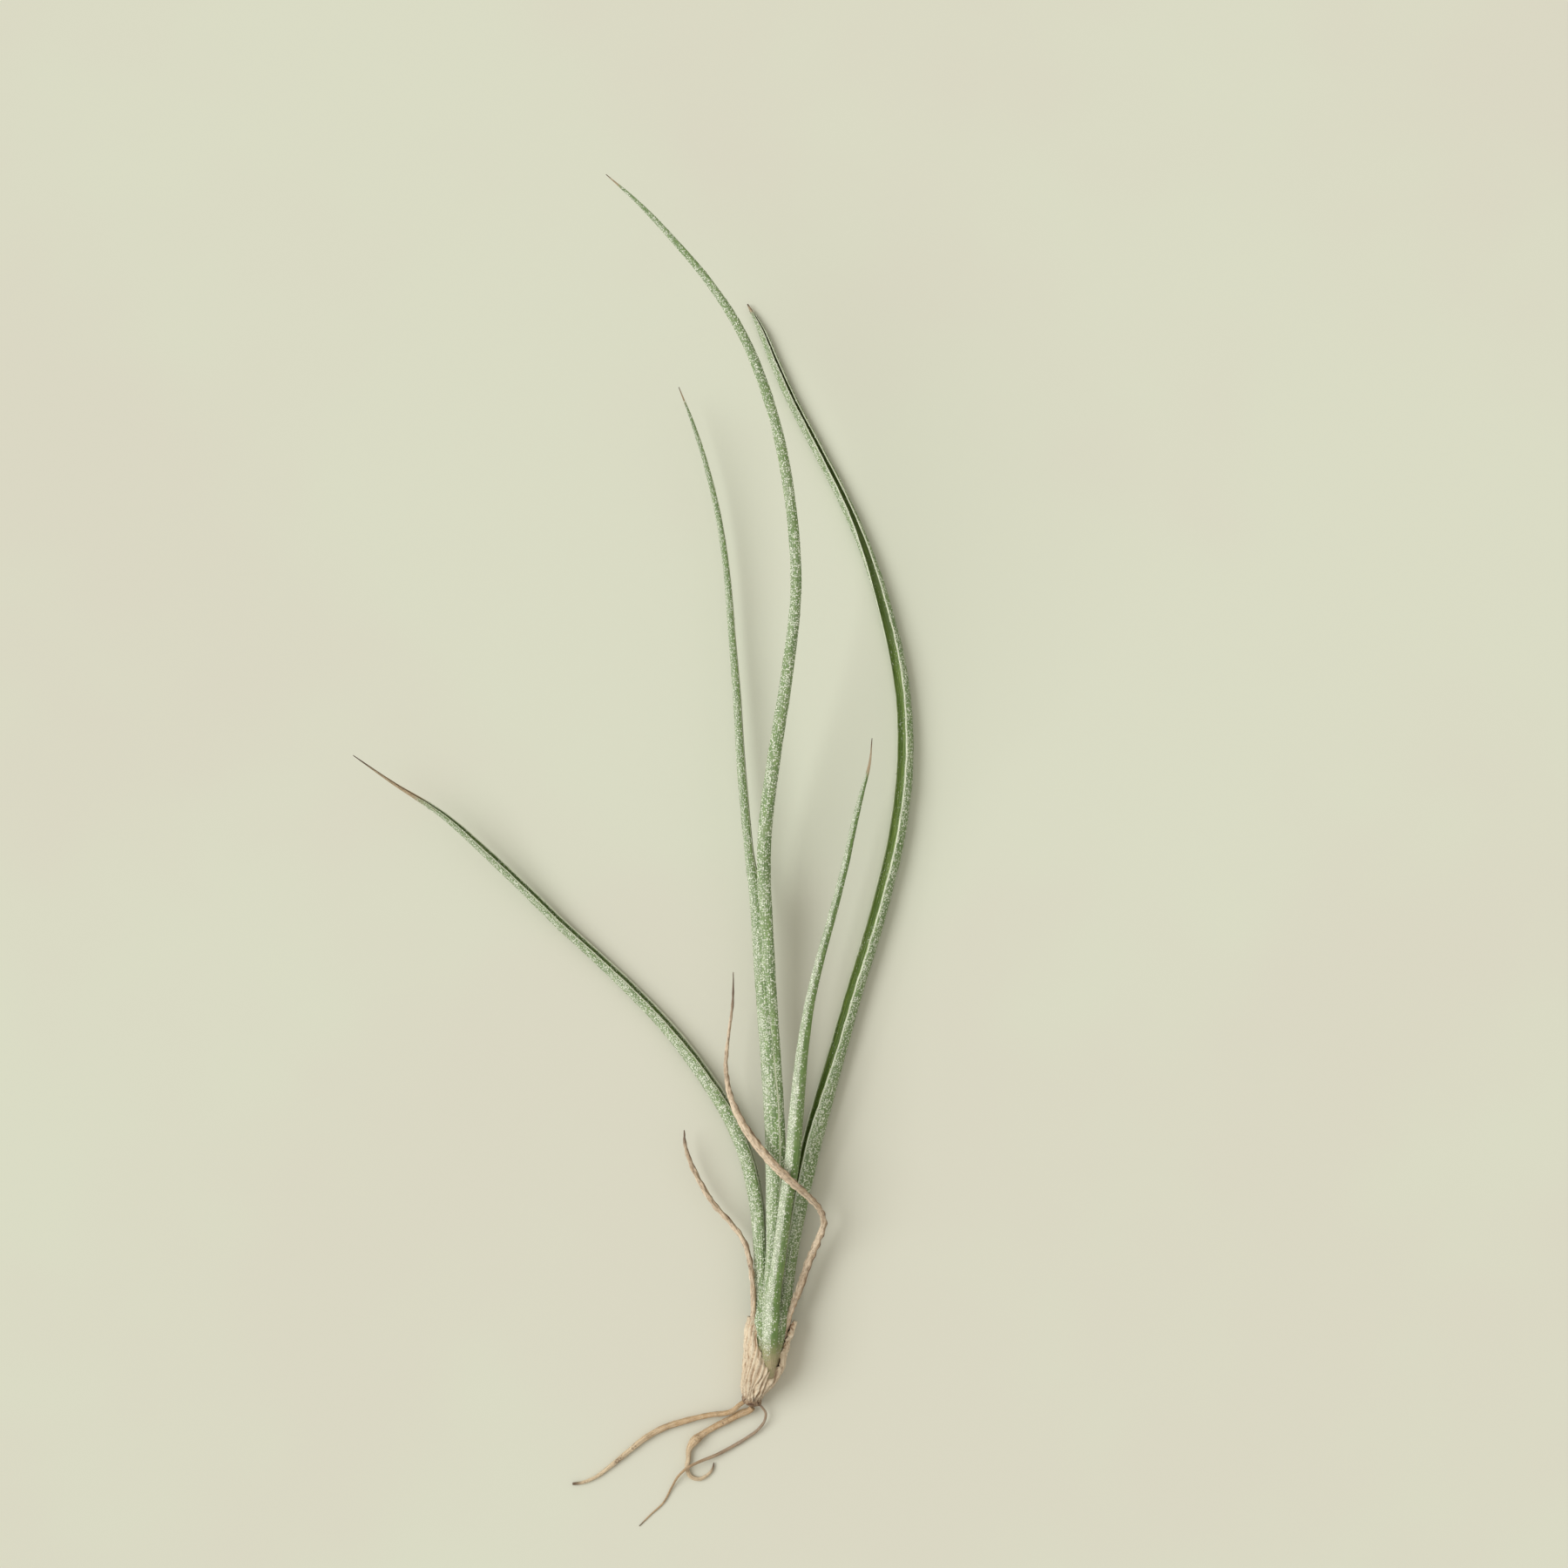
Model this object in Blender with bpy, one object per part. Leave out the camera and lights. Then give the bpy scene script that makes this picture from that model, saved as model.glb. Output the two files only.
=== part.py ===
"""A small air plant lying on a flat surface, roots towards -Y and leaf tips towards +Y.

Every leaf is a channel swept along a curve, every root is a round rod, and the stem base is a turned knob.
Lengths in the tables are millimetres; the surface that the plant lies on is z = 0.
"""

import math
from typing import NamedTuple

import bpy
import numpy as np

MM = 0.001

# The middle of the plant's outline, which becomes the origin.
OUTLINE_MIDDLE = (0.5, -1.6, 0.0)

LEAF_RING_SPACING = 4.6
DRY_RING_SPACING = 1.8
SHEATH_RING_SPACING = 1.0
ROOT_RING_SPACING = 1.0
FEWEST_RINGS = 14
WALL_POINTS = 7
ROOT_SIDES = 8
KNOB_SIDES = 16
MARGIN_SHARE = 0.3

SILVER_GREEN = (0.36, 0.46, 0.30)
DEEP_GREEN = (0.24, 0.36, 0.14)
DRY_TAN = (0.62, 0.47, 0.33)
PAPER_TAN = (0.72, 0.58, 0.42)
ROOT_BROWN = (0.55, 0.38, 0.22)


class Leaf(NamedTuple):
    """A rolled leaf: its keel curve, the way its channel opens, and how far its wall reaches round."""

    name: str
    colour: tuple
    opening: float
    reach: float
    wall: float
    spacing: float
    route: tuple


class Sheath(NamedTuple):
    """A papery wrap: each station of its route also says where its wall starts and ends, in degrees."""

    name: str
    colour: tuple
    wall: float
    route: tuple


class Root(NamedTuple):
    """A bare root: its centre line and radius."""

    name: str
    route: tuple


# A station is x, y, z, radius. Angles in a section run clockwise from straight up, seen from the root end.
LEAVES = (
    Leaf("leaf_left", SILVER_GREEN, 55, 118, 0.40, LEAF_RING_SPACING, (
        (20.7, -80.5, 2.7, 0.70), (21.0, -73.0, 2.7, 0.85), (20.7, -64.6, 2.6, 1.15), (20.2, -57.0, 2.4, 1.35),
        (18.6, -49.3, 2.2, 1.40), (16.3, -43.5, 2.0, 1.40), (12.1, -36.6, 1.7, 1.35), (6.5, -29.2, 1.35, 1.25),
        (1.0, -23.3, 1.2, 1.15), (-5.3, -17.3, 1.35, 1.05), (-11.4, -11.7, 1.8, 0.98), (-17.4, -5.8, 2.6, 0.92),
        (-23.6, 0.1, 3.7, 0.82), (-30.1, 5.8, 5.2, 0.58), (-38.0, 10.9, 6.8, 0.26), (-44.1, 15.2, 8.0, 0.08),
    )),
    Leaf("leaf_slender", SILVER_GREEN, 40, 105, 0.42, LEAF_RING_SPACING, (
        (21.9, -80.5, 3.3, 0.50), (22.3, -72.9, 3.8, 0.85), (22.7, -64.5, 4.3, 1.20), (23.1, -56.8, 4.6, 1.60),
        (23.2, -49.1, 4.8, 1.80), (23.0, -41.5, 4.9, 1.85), (22.4, -33.8, 5.0, 1.75), (21.8, -26.2, 5.0, 1.68),
        (21.2, -18.5, 5.1, 1.65), (20.6, -11.6, 5.0, 1.45), (19.8, -6.0, 4.7, 1.10), (19.0, -1.2, 4.5, 0.84),
        (18.2, 6.5, 4.2, 0.79), (17.5, 14.8, 3.9, 0.76), (16.9, 24.6, 3.6, 0.70), (16.1, 34.3, 3.6, 0.62),
        (15.3, 44.0, 3.8, 0.56), (14.1, 52.4, 4.1, 0.50), (12.3, 60.3, 4.6, 0.43), (9.9, 68.0, 5.2, 0.30),
        (7.6, 73.9, 5.8, 0.08),
    )),
    Leaf("leaf_tall", SILVER_GREEN, 115, 150, 0.80, LEAF_RING_SPACING, (
        (22.5, -71.5, 4.1, 0.25), (22.8, -64.5, 4.4, 0.42), (23.2, -56.8, 4.8, 0.62), (23.4, -49.1, 5.0, 0.75),
        (22.9, -33.8, 5.2, 0.78), (22.2, -22.0, 5.6, 0.85), (21.7, -13.0, 6.8, 1.00), (21.2, -4.6, 8.2, 1.18),
        (21.4, 2.4, 9.8, 1.20), (22.9, 14.8, 13.0, 1.13), (24.9, 27.7, 17.0, 1.02), (26.3, 41.2, 20.7, 0.92),
        (25.4, 54.6, 23.2, 0.90), (22.5, 68.7, 25.0, 0.85), (17.2, 81.7, 25.8, 0.74), (12.6, 88.6, 25.8, 0.62),
        (7.5, 94.7, 25.2, 0.50), (1.8, 100.8, 24.2, 0.33), (-3.3, 105.4, 23.0, 0.08),
    )),
    Leaf("leaf_front", SILVER_GREEN, 180, 78, 0.45, LEAF_RING_SPACING, (
        (22.0, -80.5, 4.6, 0.90), (22.5, -72.8, 5.2, 1.10), (23.6, -64.4, 6.1, 1.15), (24.6, -56.6, 6.9, 1.25),
        (25.7, -49.0, 7.3, 1.35), (26.3, -42.0, 7.3, 1.30), (27.4, -30.9, 7.1, 1.05), (28.5, -24.0, 7.0, 0.88),
        (30.15, -17.1, 6.9, 0.76), (31.9, -10.8, 6.9, 0.70), (34.0, -2.7, 7.2, 0.62), (35.8, 5.5, 8.0, 0.50),
        (36.9, 9.9, 8.8, 0.38), (37.9, 13.7, 9.6, 0.20), (38.3, 17.9, 10.5, 0.08),
    )),
    Leaf("leaf_right", DEEP_GREEN, -62, 122, 0.40, LEAF_RING_SPACING, (
        (23.0, -80.5, 2.35, 0.62), (24.1, -74.6, 2.3, 0.92), (25.3, -64.7, 2.1, 1.20), (26.6, -57.0, 1.9, 1.45),
        (28.2, -49.4, 1.8, 1.60), (31.5, -36.8, 1.7, 1.60), (35.0, -24.2, 1.6, 1.52), (39.2, -10.3, 1.55, 1.50),
        (42.5, 3.7, 1.55, 1.50), (43.5, 12.0, 1.55, 1.48), (43.1, 26.7, 1.35, 1.30), (40.0, 40.7, 1.15, 1.10),
        (37.4, 48.4, 1.05, 1.00), (33.7, 56.8, 1.0, 0.95), (29.7, 64.5, 0.95, 0.90), (26.0, 71.5, 0.9, 0.85),
        (22.8, 78.5, 0.85, 0.80), (20.6, 83.8, 0.75, 0.60), (18.5, 87.7, 0.6, 0.12),
    )),
    Leaf("dry_leaf_right", DRY_TAN, -20, 95, 0.5, DRY_RING_SPACING, (
        (24.1, -78.5, 4.0, 0.38), (24.9, -75.8, 4.1, 0.42), (25.6, -73.2, 4.1, 0.48), (27.0, -69.6, 3.9, 0.60),
        (28.3, -65.8, 3.8, 0.62), (29.8, -62.2, 4.2, 0.58), (30.7, -59.4, 5.2, 0.50), (30.0, -57.0, 6.6, 0.48),
        (28.2, -54.9, 8.2, 0.55), (25.6, -52.4, 9.8, 0.65), (22.7, -49.7, 8.9, 0.72), (19.9, -46.5, 7.7, 0.70),
        (17.6, -43.1, 6.8, 0.62), (15.8, -39.0, 6.2, 0.48), (15.1, -34.4, 6.0, 0.34), (15.5, -29.6, 6.1, 0.25),
        (16.2, -24.0, 6.4, 0.20), (16.3, -19.3, 6.8, 0.08),
    )),
    Leaf("dry_leaf_left", DRY_TAN, 30, 100, 0.5, DRY_RING_SPACING, (
        (19.3, -77.5, 4.4, 0.38), (19.5, -73.0, 4.65, 0.42), (19.35, -69.0, 4.4, 0.42), (18.9, -65.4, 3.8, 0.42),
        (17.9, -62.4, 3.3, 0.42), (16.0, -59.8, 3.0, 0.42), (13.2, -56.7, 2.8, 0.42), (11.0, -53.2, 2.7, 0.42),
        (9.3, -49.7, 2.9, 0.36), (8.5, -46.8, 3.2, 0.26), (8.4, -44.7, 3.5, 0.10),
    )),
)

# A station is x, y, z, radius, first angle, last angle.
SHEATHS = (
    Sheath("sheath_left", PAPER_TAN, 0.32, (
        (19.15, -87.3, 1.85, 1.65, 186, 292), (19.6, -85.6, 2.4, 2.32, 184, 300), (20.5, -83.4, 3.0, 2.95, 182, 310),
        (21.2, -81.2, 3.4, 3.35, 180, 318), (21.4, -78.8, 3.5, 3.40, 182, 312), (21.5, -76.6, 3.5, 3.30, 196, 300),
        (21.6, -74.6, 3.5, 3.10, 222, 284),
    )),
    Sheath("sheath_right", PAPER_TAN, 0.32, (
        (19.15, -87.3, 1.85, 1.65, -44, 162), (19.6, -85.6, 2.4, 2.32, -34, 164), (20.5, -83.4, 3.0, 2.95, -16, 160),
        (21.2, -81.2, 3.4, 3.35, 28, 154), (21.5, -78.8, 3.5, 3.50, 56, 146), (22.3, -76.2, 3.5, 3.50, 66, 128),
        (23.4, -73.3, 3.4, 3.40, 80, 104),
    )),
)

ROOTS = (
    Root("root_long", (
        (17.2, -88.9, 1.9, 0.34), (16.2, -89.8, 1.75, 0.40), (14.8, -90.3, 1.5, 0.42), (13.2, -90.5, 1.2, 0.42),
        (10.0, -91.2, 0.8, 0.45), (7.6, -91.9, 0.65, 0.55), (5.4, -92.6, 0.6, 0.52), (2.4, -94.2, 0.55, 0.50),
        (-0.8, -96.7, 0.5, 0.42), (-3.6, -99.0, 0.42, 0.35), (-6.1, -100.8, 0.35, 0.28), (-8.1, -101.6, 0.3, 0.24),
        (-9.6, -101.8, 0.28, 0.20),
    )),
    Root("root_knotted", (
        (18.9, -89.8, 1.1, 0.52), (17.4, -90.4, 0.95, 0.58), (15.4, -91.5, 0.8, 0.57), (13.2, -92.6, 0.7, 0.55),
        (11.1, -93.9, 0.7, 0.60), (9.9, -94.9, 0.85, 0.80), (9.1, -96.3, 0.65, 0.50), (9.0, -97.8, 0.5, 0.40),
        (8.8, -99.6, 0.42, 0.37), (9.4, -100.8, 0.38, 0.33), (10.9, -100.8, 0.35, 0.30), (12.1, -100.2, 0.33, 0.25),
        (12.9, -99.2, 0.33, 0.17), (13.1, -98.4, 0.33, 0.08),
    )),
    Root("root_thin", (
        (20.9, -89.4, 1.5, 0.20), (21.4, -90.2, 1.3, 0.22), (21.3, -91.4, 1.0, 0.23), (20.3, -92.9, 0.7, 0.25),
        (18.5, -94.3, 0.5, 0.27), (16.0, -95.8, 0.5, 0.29), (13.0, -97.3, 0.75, 0.28), (10.8, -98.1, 1.15, 0.25),
        (8.8, -99.1, 1.4, 0.23), (7.3, -100.6, 0.9, 0.20), (6.3, -102.4, 0.4, 0.17), (5.0, -104.8, 0.2, 0.13),
        (2.9, -106.8, 0.15, 0.11), (1.1, -108.6, 0.12, 0.07),
    )),
)

# The stem base: where its root end and its leaf end are, and its profile as share of length and radius.
KNOB_START = (19.05, -88.5, 1.65)
KNOB_END = (20.6, -82.4, 3.0)
KNOB_PROFILE = ((0.0, 0.8), (0.03, 1.3), (0.08, 1.5), (0.13, 1.2), (0.19, 0.7), (0.6, 0.75), (0.9, 1.05), (1.0, 0.7))


def clear_scene():
    for obj in list(bpy.data.objects):
        bpy.data.objects.remove(obj, do_unlink=True)


def plant_material(name, colour):
    material = bpy.data.materials.new(name)
    material.use_nodes = True
    shader = material.node_tree.nodes["Principled BSDF"]
    shader.inputs["Base Color"].default_value = (*colour, 1.0)
    shader.inputs["Roughness"].default_value = 0.75
    shader.inputs["Metallic"].default_value = 0.0
    return material


def smooth_stations(stations, spacing):
    """The stations joined by a cubic curve with weighted tangents, then read off at even steps of length."""
    knots = np.array(stations, float)
    steps = np.linalg.norm(np.diff(knots[:, :3], axis=0), axis=1)
    slopes = np.diff(knots, axis=0) / steps[:, None]
    before, after = steps[:-1, None], steps[1:, None]
    tangents = np.vstack([slopes[:1], (slopes[:-1] * after + slopes[1:] * before) / (before + after), slopes[-1:]])
    curve = []
    for i, step in enumerate(steps):
        t = np.linspace(0.0, 1.0, 12, endpoint=False)[:, None]
        start, end = knots[i], knots[i + 1]
        rise_in, rise_out = tangents[i] * step, tangents[i + 1] * step
        curve.append((2 * t**3 - 3 * t**2 + 1) * start + (t**3 - 2 * t**2 + t) * rise_in
                     + (3 * t**2 - 2 * t**3) * end + (t**3 - t**2) * rise_out)
    curve = np.vstack([*curve, knots[-1:]])
    length = np.concatenate([[0.0], np.cumsum(np.linalg.norm(np.diff(curve[:, :3], axis=0), axis=1))])
    count = max(FEWEST_RINGS, round(length[-1] / spacing) + 1)
    even = np.linspace(0.0, length[-1], count)
    return np.column_stack([np.interp(even, length, column) for column in curve.T])


def section_axes(centres):
    """Unit vectors to the right of the path and upwards from it, square to the way it runs."""
    along = np.gradient(centres, axis=0)
    along /= np.linalg.norm(along, axis=1)[:, None]
    right = np.cross(along, (0.0, 0.0, 1.0))
    right /= np.linalg.norm(right, axis=1)[:, None]
    return right, np.cross(right, along)


def place(centres, radii, angles):
    """Points at these radii and clockwise angles round each centre."""
    right, up = section_axes(centres)
    sideways = (radii * np.sin(angles))[..., None] * right[:, None]
    upwards = (radii * np.cos(angles))[..., None] * up[:, None]
    return centres[:, None] + sideways + upwards


def channel_rings(stations, first, last, wall):
    """Rings of a channel: its outer wall one way round, then its inner wall back, thinner at both margins."""
    across = np.linspace(0.0, 1.0, WALL_POINTS)
    angles = np.radians(first[:, None] + (last - first)[:, None] * across)
    thickness = wall[:, None] * (1.0 - (1.0 - MARGIN_SHARE) * (2.0 * across - 1.0) ** 2)
    outer = np.broadcast_to(stations[:, 3:4], angles.shape)
    radii = np.hstack([outer, (outer - thickness)[:, ::-1]])
    return place(stations[:, :3], radii, np.hstack([angles, angles[:, ::-1]]))


def closed_tube(name, rings, material):
    """One closed body through the rings, capped at both ends, with its origin at the plant's origin."""
    count, sides = rings.shape[:2]
    points = (rings.reshape(-1, 3) - OUTLINE_MIDDLE) * MM
    faces = []
    for ring in range(count - 1):
        for side in range(sides):
            here, there = ring * sides + side, ring * sides + (side + 1) % sides
            faces.append((here, there, there + sides, here + sides))
    faces.append(tuple(range(sides))[::-1])
    faces.append(tuple(range((count - 1) * sides, count * sides)))
    mesh = bpy.data.meshes.new(name)
    mesh.from_pydata([tuple(point) for point in points], [], faces)
    mesh.materials.append(material)
    mesh.shade_smooth()
    mesh.set_sharp_from_angle(angle=math.radians(50))
    obj = bpy.data.objects.new(name, mesh)
    bpy.context.scene.collection.objects.link(obj)
    return obj


def make_leaf(leaf):
    stations = smooth_stations(leaf.route, leaf.spacing)
    keel = leaf.opening + 180.0
    first = np.full(len(stations), keel - leaf.reach)
    last = np.full(len(stations), keel + leaf.reach)
    rings = channel_rings(stations, first, last, leaf.wall * stations[:, 3])
    return closed_tube(leaf.name, rings, plant_material(leaf.name, leaf.colour))


def make_sheath(sheath):
    stations = smooth_stations(sheath.route, spacing=SHEATH_RING_SPACING)
    wall = np.full(len(stations), sheath.wall)
    rings = channel_rings(stations, stations[:, 4], stations[:, 5], wall)
    return closed_tube(sheath.name, rings, plant_material(sheath.name, sheath.colour))


def make_root(root):
    stations = smooth_stations(root.route, spacing=ROOT_RING_SPACING)
    angles = np.linspace(0.0, 2.0 * math.pi, ROOT_SIDES, endpoint=False)
    angles = np.broadcast_to(angles, (len(stations), ROOT_SIDES))
    rings = place(stations[:, :3], stations[:, 3:4], angles)
    return closed_tube(root.name, rings, plant_material(root.name, ROOT_BROWN))


def make_stem_base():
    """A knob turned about the line from the root end to the leaf end."""
    share, radii = np.array(KNOB_PROFILE).T
    start, end = np.array(KNOB_START), np.array(KNOB_END)
    centres = start + share[:, None] * (end - start)
    angles = np.linspace(0.0, 2.0 * math.pi, KNOB_SIDES, endpoint=False)
    angles = np.broadcast_to(angles, (len(centres), KNOB_SIDES))
    rings = place(centres, radii[:, None], angles)
    return closed_tube("stem_base", rings, plant_material("stem_base", ROOT_BROWN))


def main():
    clear_scene()
    for leaf in LEAVES:
        make_leaf(leaf)
    for sheath in SHEATHS:
        make_sheath(sheath)
    for root in ROOTS:
        make_root(root)
    make_stem_base()


main()
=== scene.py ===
import math
from typing import NamedTuple

import bpy
import numpy as np
from bpy.props import FloatProperty, FloatVectorProperty, IntProperty, PointerProperty
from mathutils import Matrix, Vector


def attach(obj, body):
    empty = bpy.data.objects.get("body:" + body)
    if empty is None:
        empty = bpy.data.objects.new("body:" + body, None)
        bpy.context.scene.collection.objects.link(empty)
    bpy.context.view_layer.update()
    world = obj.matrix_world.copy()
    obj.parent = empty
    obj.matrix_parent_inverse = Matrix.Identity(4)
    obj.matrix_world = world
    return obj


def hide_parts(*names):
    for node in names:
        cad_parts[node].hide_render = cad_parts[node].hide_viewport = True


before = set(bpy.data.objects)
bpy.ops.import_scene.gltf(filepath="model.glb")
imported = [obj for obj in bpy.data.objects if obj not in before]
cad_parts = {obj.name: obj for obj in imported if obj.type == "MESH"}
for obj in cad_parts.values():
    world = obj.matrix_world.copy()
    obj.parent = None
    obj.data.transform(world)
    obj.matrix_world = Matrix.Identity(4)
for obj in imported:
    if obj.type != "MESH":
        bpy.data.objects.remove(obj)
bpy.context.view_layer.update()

bl_info = {
    "name": "Air Plant Builder",
    "version": (1, 0, 0),
    "blender": (4, 5, 0),
    "location": "View3D > Sidebar > Air Plant",
    "description": "Builds a silvery air plant lying on a pale surface, leaf by leaf",
    "category": "Add Mesh",
}

MM = 0.001

# The middle of the plant's outline in the route tables, which is the origin of the finished pieces.
OUTLINE_MIDDLE = (0.5, -1.6, 0.0)


class Leaf(NamedTuple):
    """A rolled leaf.

    A route station is x, y, z, radius in mm, along the middle of the channel. A turn is a share of the length,
    the way the channel opens and how far its wall reaches round each way, in degrees. A band is an angle in the
    section, the share of it covered by silver scales and how yellow its green is. On the outer faces the cover is
    higher on the left-hand side and falls, with a yellower green, on the right-hand side: partly real cover,
    partly painted light on the left-hand side, towards the light, and painted shade on the right-hand side. A
    patch is first and last share of the length, first and last angle, and the cover and yellowness there. Angles
    run clockwise from straight up, seen from the root end.
    """

    name: str
    wall: float
    route: tuple
    turns: tuple
    outer_bands: tuple
    inner_bands: tuple
    dry_tip: float
    seed: int
    patches: tuple = ()


LEAVES = (
    Leaf("leaf_left", 0.40, (
        (21.2, -83.6, 3.9, 0.75), (20.85, -81.2, 4.5, 1.15), (20.65, -77.6, 4.6, 1.35),
        (20.7, -73.0, 3.7, 1.22), (20.7, -64.6, 2.7, 1.20), (20.2, -57.0, 2.4, 1.35),
        (18.6, -49.3, 2.2, 1.40), (16.3, -43.5, 2.0, 1.40), (12.1, -36.6, 1.7, 1.35),
        (6.5, -29.2, 1.35, 1.25), (1.0, -23.3, 1.2, 1.15), (-5.3, -17.3, 1.35, 1.05),
        (-11.4, -11.7, 1.8, 0.98), (-17.4, -5.8, 2.6, 0.92), (-23.6, 0.1, 3.7, 0.82),
        (-30.1, 5.8, 5.2, 0.58), (-38.0, 10.9, 6.8, 0.26), (-44.1, 15.2, 8.0, 0.06),
    ), ((0.0, 85, 150), (0.3, 78, 142), (0.45, 66, 130), (0.8, 60, 128), (1.0, 60, 150)),
        ((-125, 0.35, 0.0), (-90, 0.60, 0.0), (-45, 0.80, 0.0), (-10, 0.62, 0.0), (35, 0.35, 0.1)),
        ((95, 0.6, 0.1), (150, 0.22, 0.4), (200, 0.22, 0.2), (260, 0.35, 0.1)), 15.0, 11,
        ((0.0, 0.17, -15, 120, 0.22, 0.9),)),
    Leaf("leaf_slender", 0.24, (
        (21.7, -84.0, 4.0, 0.70), (21.7, -81.0, 4.9, 1.25), (21.8, -77.6, 4.9, 1.35),
        (22.1, -72.0, 4.5, 1.22), (22.7, -64.5, 4.3, 1.25), (23.1, -56.8, 4.6, 1.60),
        (23.2, -49.1, 4.8, 1.80), (23.0, -41.5, 4.9, 1.85), (22.4, -33.8, 5.0, 1.75),
        (21.8, -26.2, 5.0, 1.68), (21.2, -18.5, 5.1, 1.65), (20.6, -11.6, 5.0, 1.45),
        (19.8, -6.0, 4.7, 1.10), (19.0, -1.2, 4.5, 0.84), (18.2, 6.5, 4.2, 0.79), (17.5, 14.8, 3.9, 0.76),
        (16.9, 24.6, 3.6, 0.70), (16.1, 34.3, 3.6, 0.62), (15.3, 44.0, 3.8, 0.56), (14.1, 52.4, 4.1, 0.50),
        (12.3, 60.3, 4.6, 0.43), (9.9, 68.0, 5.2, 0.30), (7.6, 73.9, 5.8, 0.06),
    ), ((0.0, 80, 140), (0.2, 78, 128), (0.43, 76, 124), (0.49, 80, 150), (1.0, 85, 165)),
        ((-120, 0.4, 0.0), (-80, 0.75, 0.0), (-45, 0.8, 0.0), (-10, 0.55, 0.0), (25, 0.35, 0.2), (80, 0.15, 0.5)),
        ((60, 0.45, 0.5), (150, 0.2, 0.8), (260, 0.3, 0.4)), 3.0, 23),
    Leaf("leaf_tall", 0.80, (
        (22.6, -71.5, 4.2, 0.30), (22.9, -64.5, 4.5, 0.72), (23.4, -56.8, 4.85, 1.05),
        (23.6, -49.1, 5.1, 1.22), (22.9, -33.8, 5.3, 1.22), (22.2, -22.0, 5.7, 1.16),
        (21.75, -13.0, 6.8, 1.12), (21.3, -4.6, 8.2, 1.18), (21.4, 2.4, 9.8, 1.20),
        (22.9, 14.8, 13.0, 1.13), (24.9, 27.7, 17.0, 1.02), (26.3, 41.2, 20.7, 0.92),
        (25.4, 54.6, 23.2, 0.90), (22.5, 68.7, 25.0, 0.85), (17.2, 81.7, 25.8, 0.74),
        (12.6, 88.6, 25.8, 0.62), (7.5, 94.7, 25.2, 0.50), (1.8, 100.8, 24.2, 0.33),
        (-3.3, 105.4, 23.0, 0.06),
    ), ((0.0, 115, 150), (1.0, 115, 155)),
        ((-150, 0.3, 0.0), (-80, 0.65, 0.0), (-20, 0.60, 0.0), (25, 0.42, 0.05), (85, 0.6, 0.0)),
        # The patch at the base, with little cover and a yellower green, is partly the barer base and partly
        # painted shade.
        ((-150, 0.3, 0.2), (200, 0.3, 0.2)), 3.5, 37, ((0.0, 0.24, -60, 100, 0.15, 0.8),)),
    Leaf("leaf_front", 0.45, (
        (21.9, -84.0, 4.5, 0.90), (22.1, -81.0, 5.3, 1.40), (22.3, -77.6, 5.5, 1.45),
        (22.6, -72.0, 5.6, 1.32), (23.6, -64.4, 6.1, 1.22), (24.6, -56.6, 6.9, 1.25),
        (25.7, -49.0, 7.3, 1.35), (26.3, -42.0, 7.3, 1.30), (27.4, -30.9, 7.1, 1.05),
        (28.5, -24.0, 7.0, 0.88), (30.15, -17.1, 6.9, 0.76), (31.9, -10.8, 6.9, 0.70),
        (34.0, -2.7, 7.2, 0.62), (35.8, 5.5, 8.0, 0.50), (36.9, 9.9, 8.8, 0.38), (37.9, 13.7, 9.6, 0.20),
        (38.3, 17.9, 10.5, 0.06),
    ), ((0.0, 180, 78), (0.8, 180, 84), (1.0, 180, 120)),
        # Painted light and shade: the outer bands give the left face of the keel a full silver cover and the right
        # face little, and the second patch whitens the left face near the base.
        ((-84, 0.80, 0.0), (-30, 1.0, 0.1), (-8, 1.0, 0.1), (8, 0.22, 0.0), (50, 0.16, 0.2), (84, 0.35, 0.1)),
        ((-80, 0.3, 0.3), (80, 0.3, 0.3)), 6.5, 41,
        ((0.0, 0.16, 20, 60, 0.12, 0.9), (0.0, 0.42, -60, 2, 1.0, 0.7))),
    Leaf("leaf_right", 0.22, (
        (22.3, -83.6, 3.7, 0.75), (22.6, -81.0, 4.3, 1.15), (23.15, -77.6, 4.2, 1.35),
        (24.1, -73.0, 3.2, 1.30), (25.3, -64.7, 2.2, 1.28), (26.6, -57.0, 1.9, 1.45),
        (28.2, -49.4, 1.8, 1.60), (31.5, -36.8, 1.7, 1.60), (35.0, -24.2, 1.6, 1.52),
        (39.2, -10.3, 1.55, 1.50), (42.5, 3.7, 1.55, 1.50), (43.5, 12.0, 1.55, 1.48),
        (43.1, 26.7, 1.35, 1.30), (40.0, 40.7, 1.15, 1.10), (37.4, 48.4, 1.05, 1.00),
        (33.7, 56.8, 1.0, 0.95), (29.7, 64.5, 0.95, 0.90), (26.0, 71.5, 0.9, 0.85),
        (22.8, 78.5, 0.85, 0.80), (20.6, 83.8, 0.75, 0.60), (18.5, 87.7, 0.6, 0.10),
    ), ((0.0, -62, 156), (0.22, -62, 152), (0.3, -60, 120), (0.62, -52, 118), (0.71, -25, 138), (0.79, 14, 157),
        (0.88, 28, 162), (1.0, 30, 168)),
        ((-100, 0.75, 0.0), (-60, 0.7, 0.0), (0, 0.62, 0.0), (40, 0.45, 0.0), (90, 0.42, 0.0), (180, 0.3, 0.1),
         (240, 0.5, 0.1)),
        ((-30, 0.3, 0.4), (60, 0.1, 0.8), (180, 0.06, 1.0), (245, 0.12, 0.9)), 1.6, 53),
)

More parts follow.
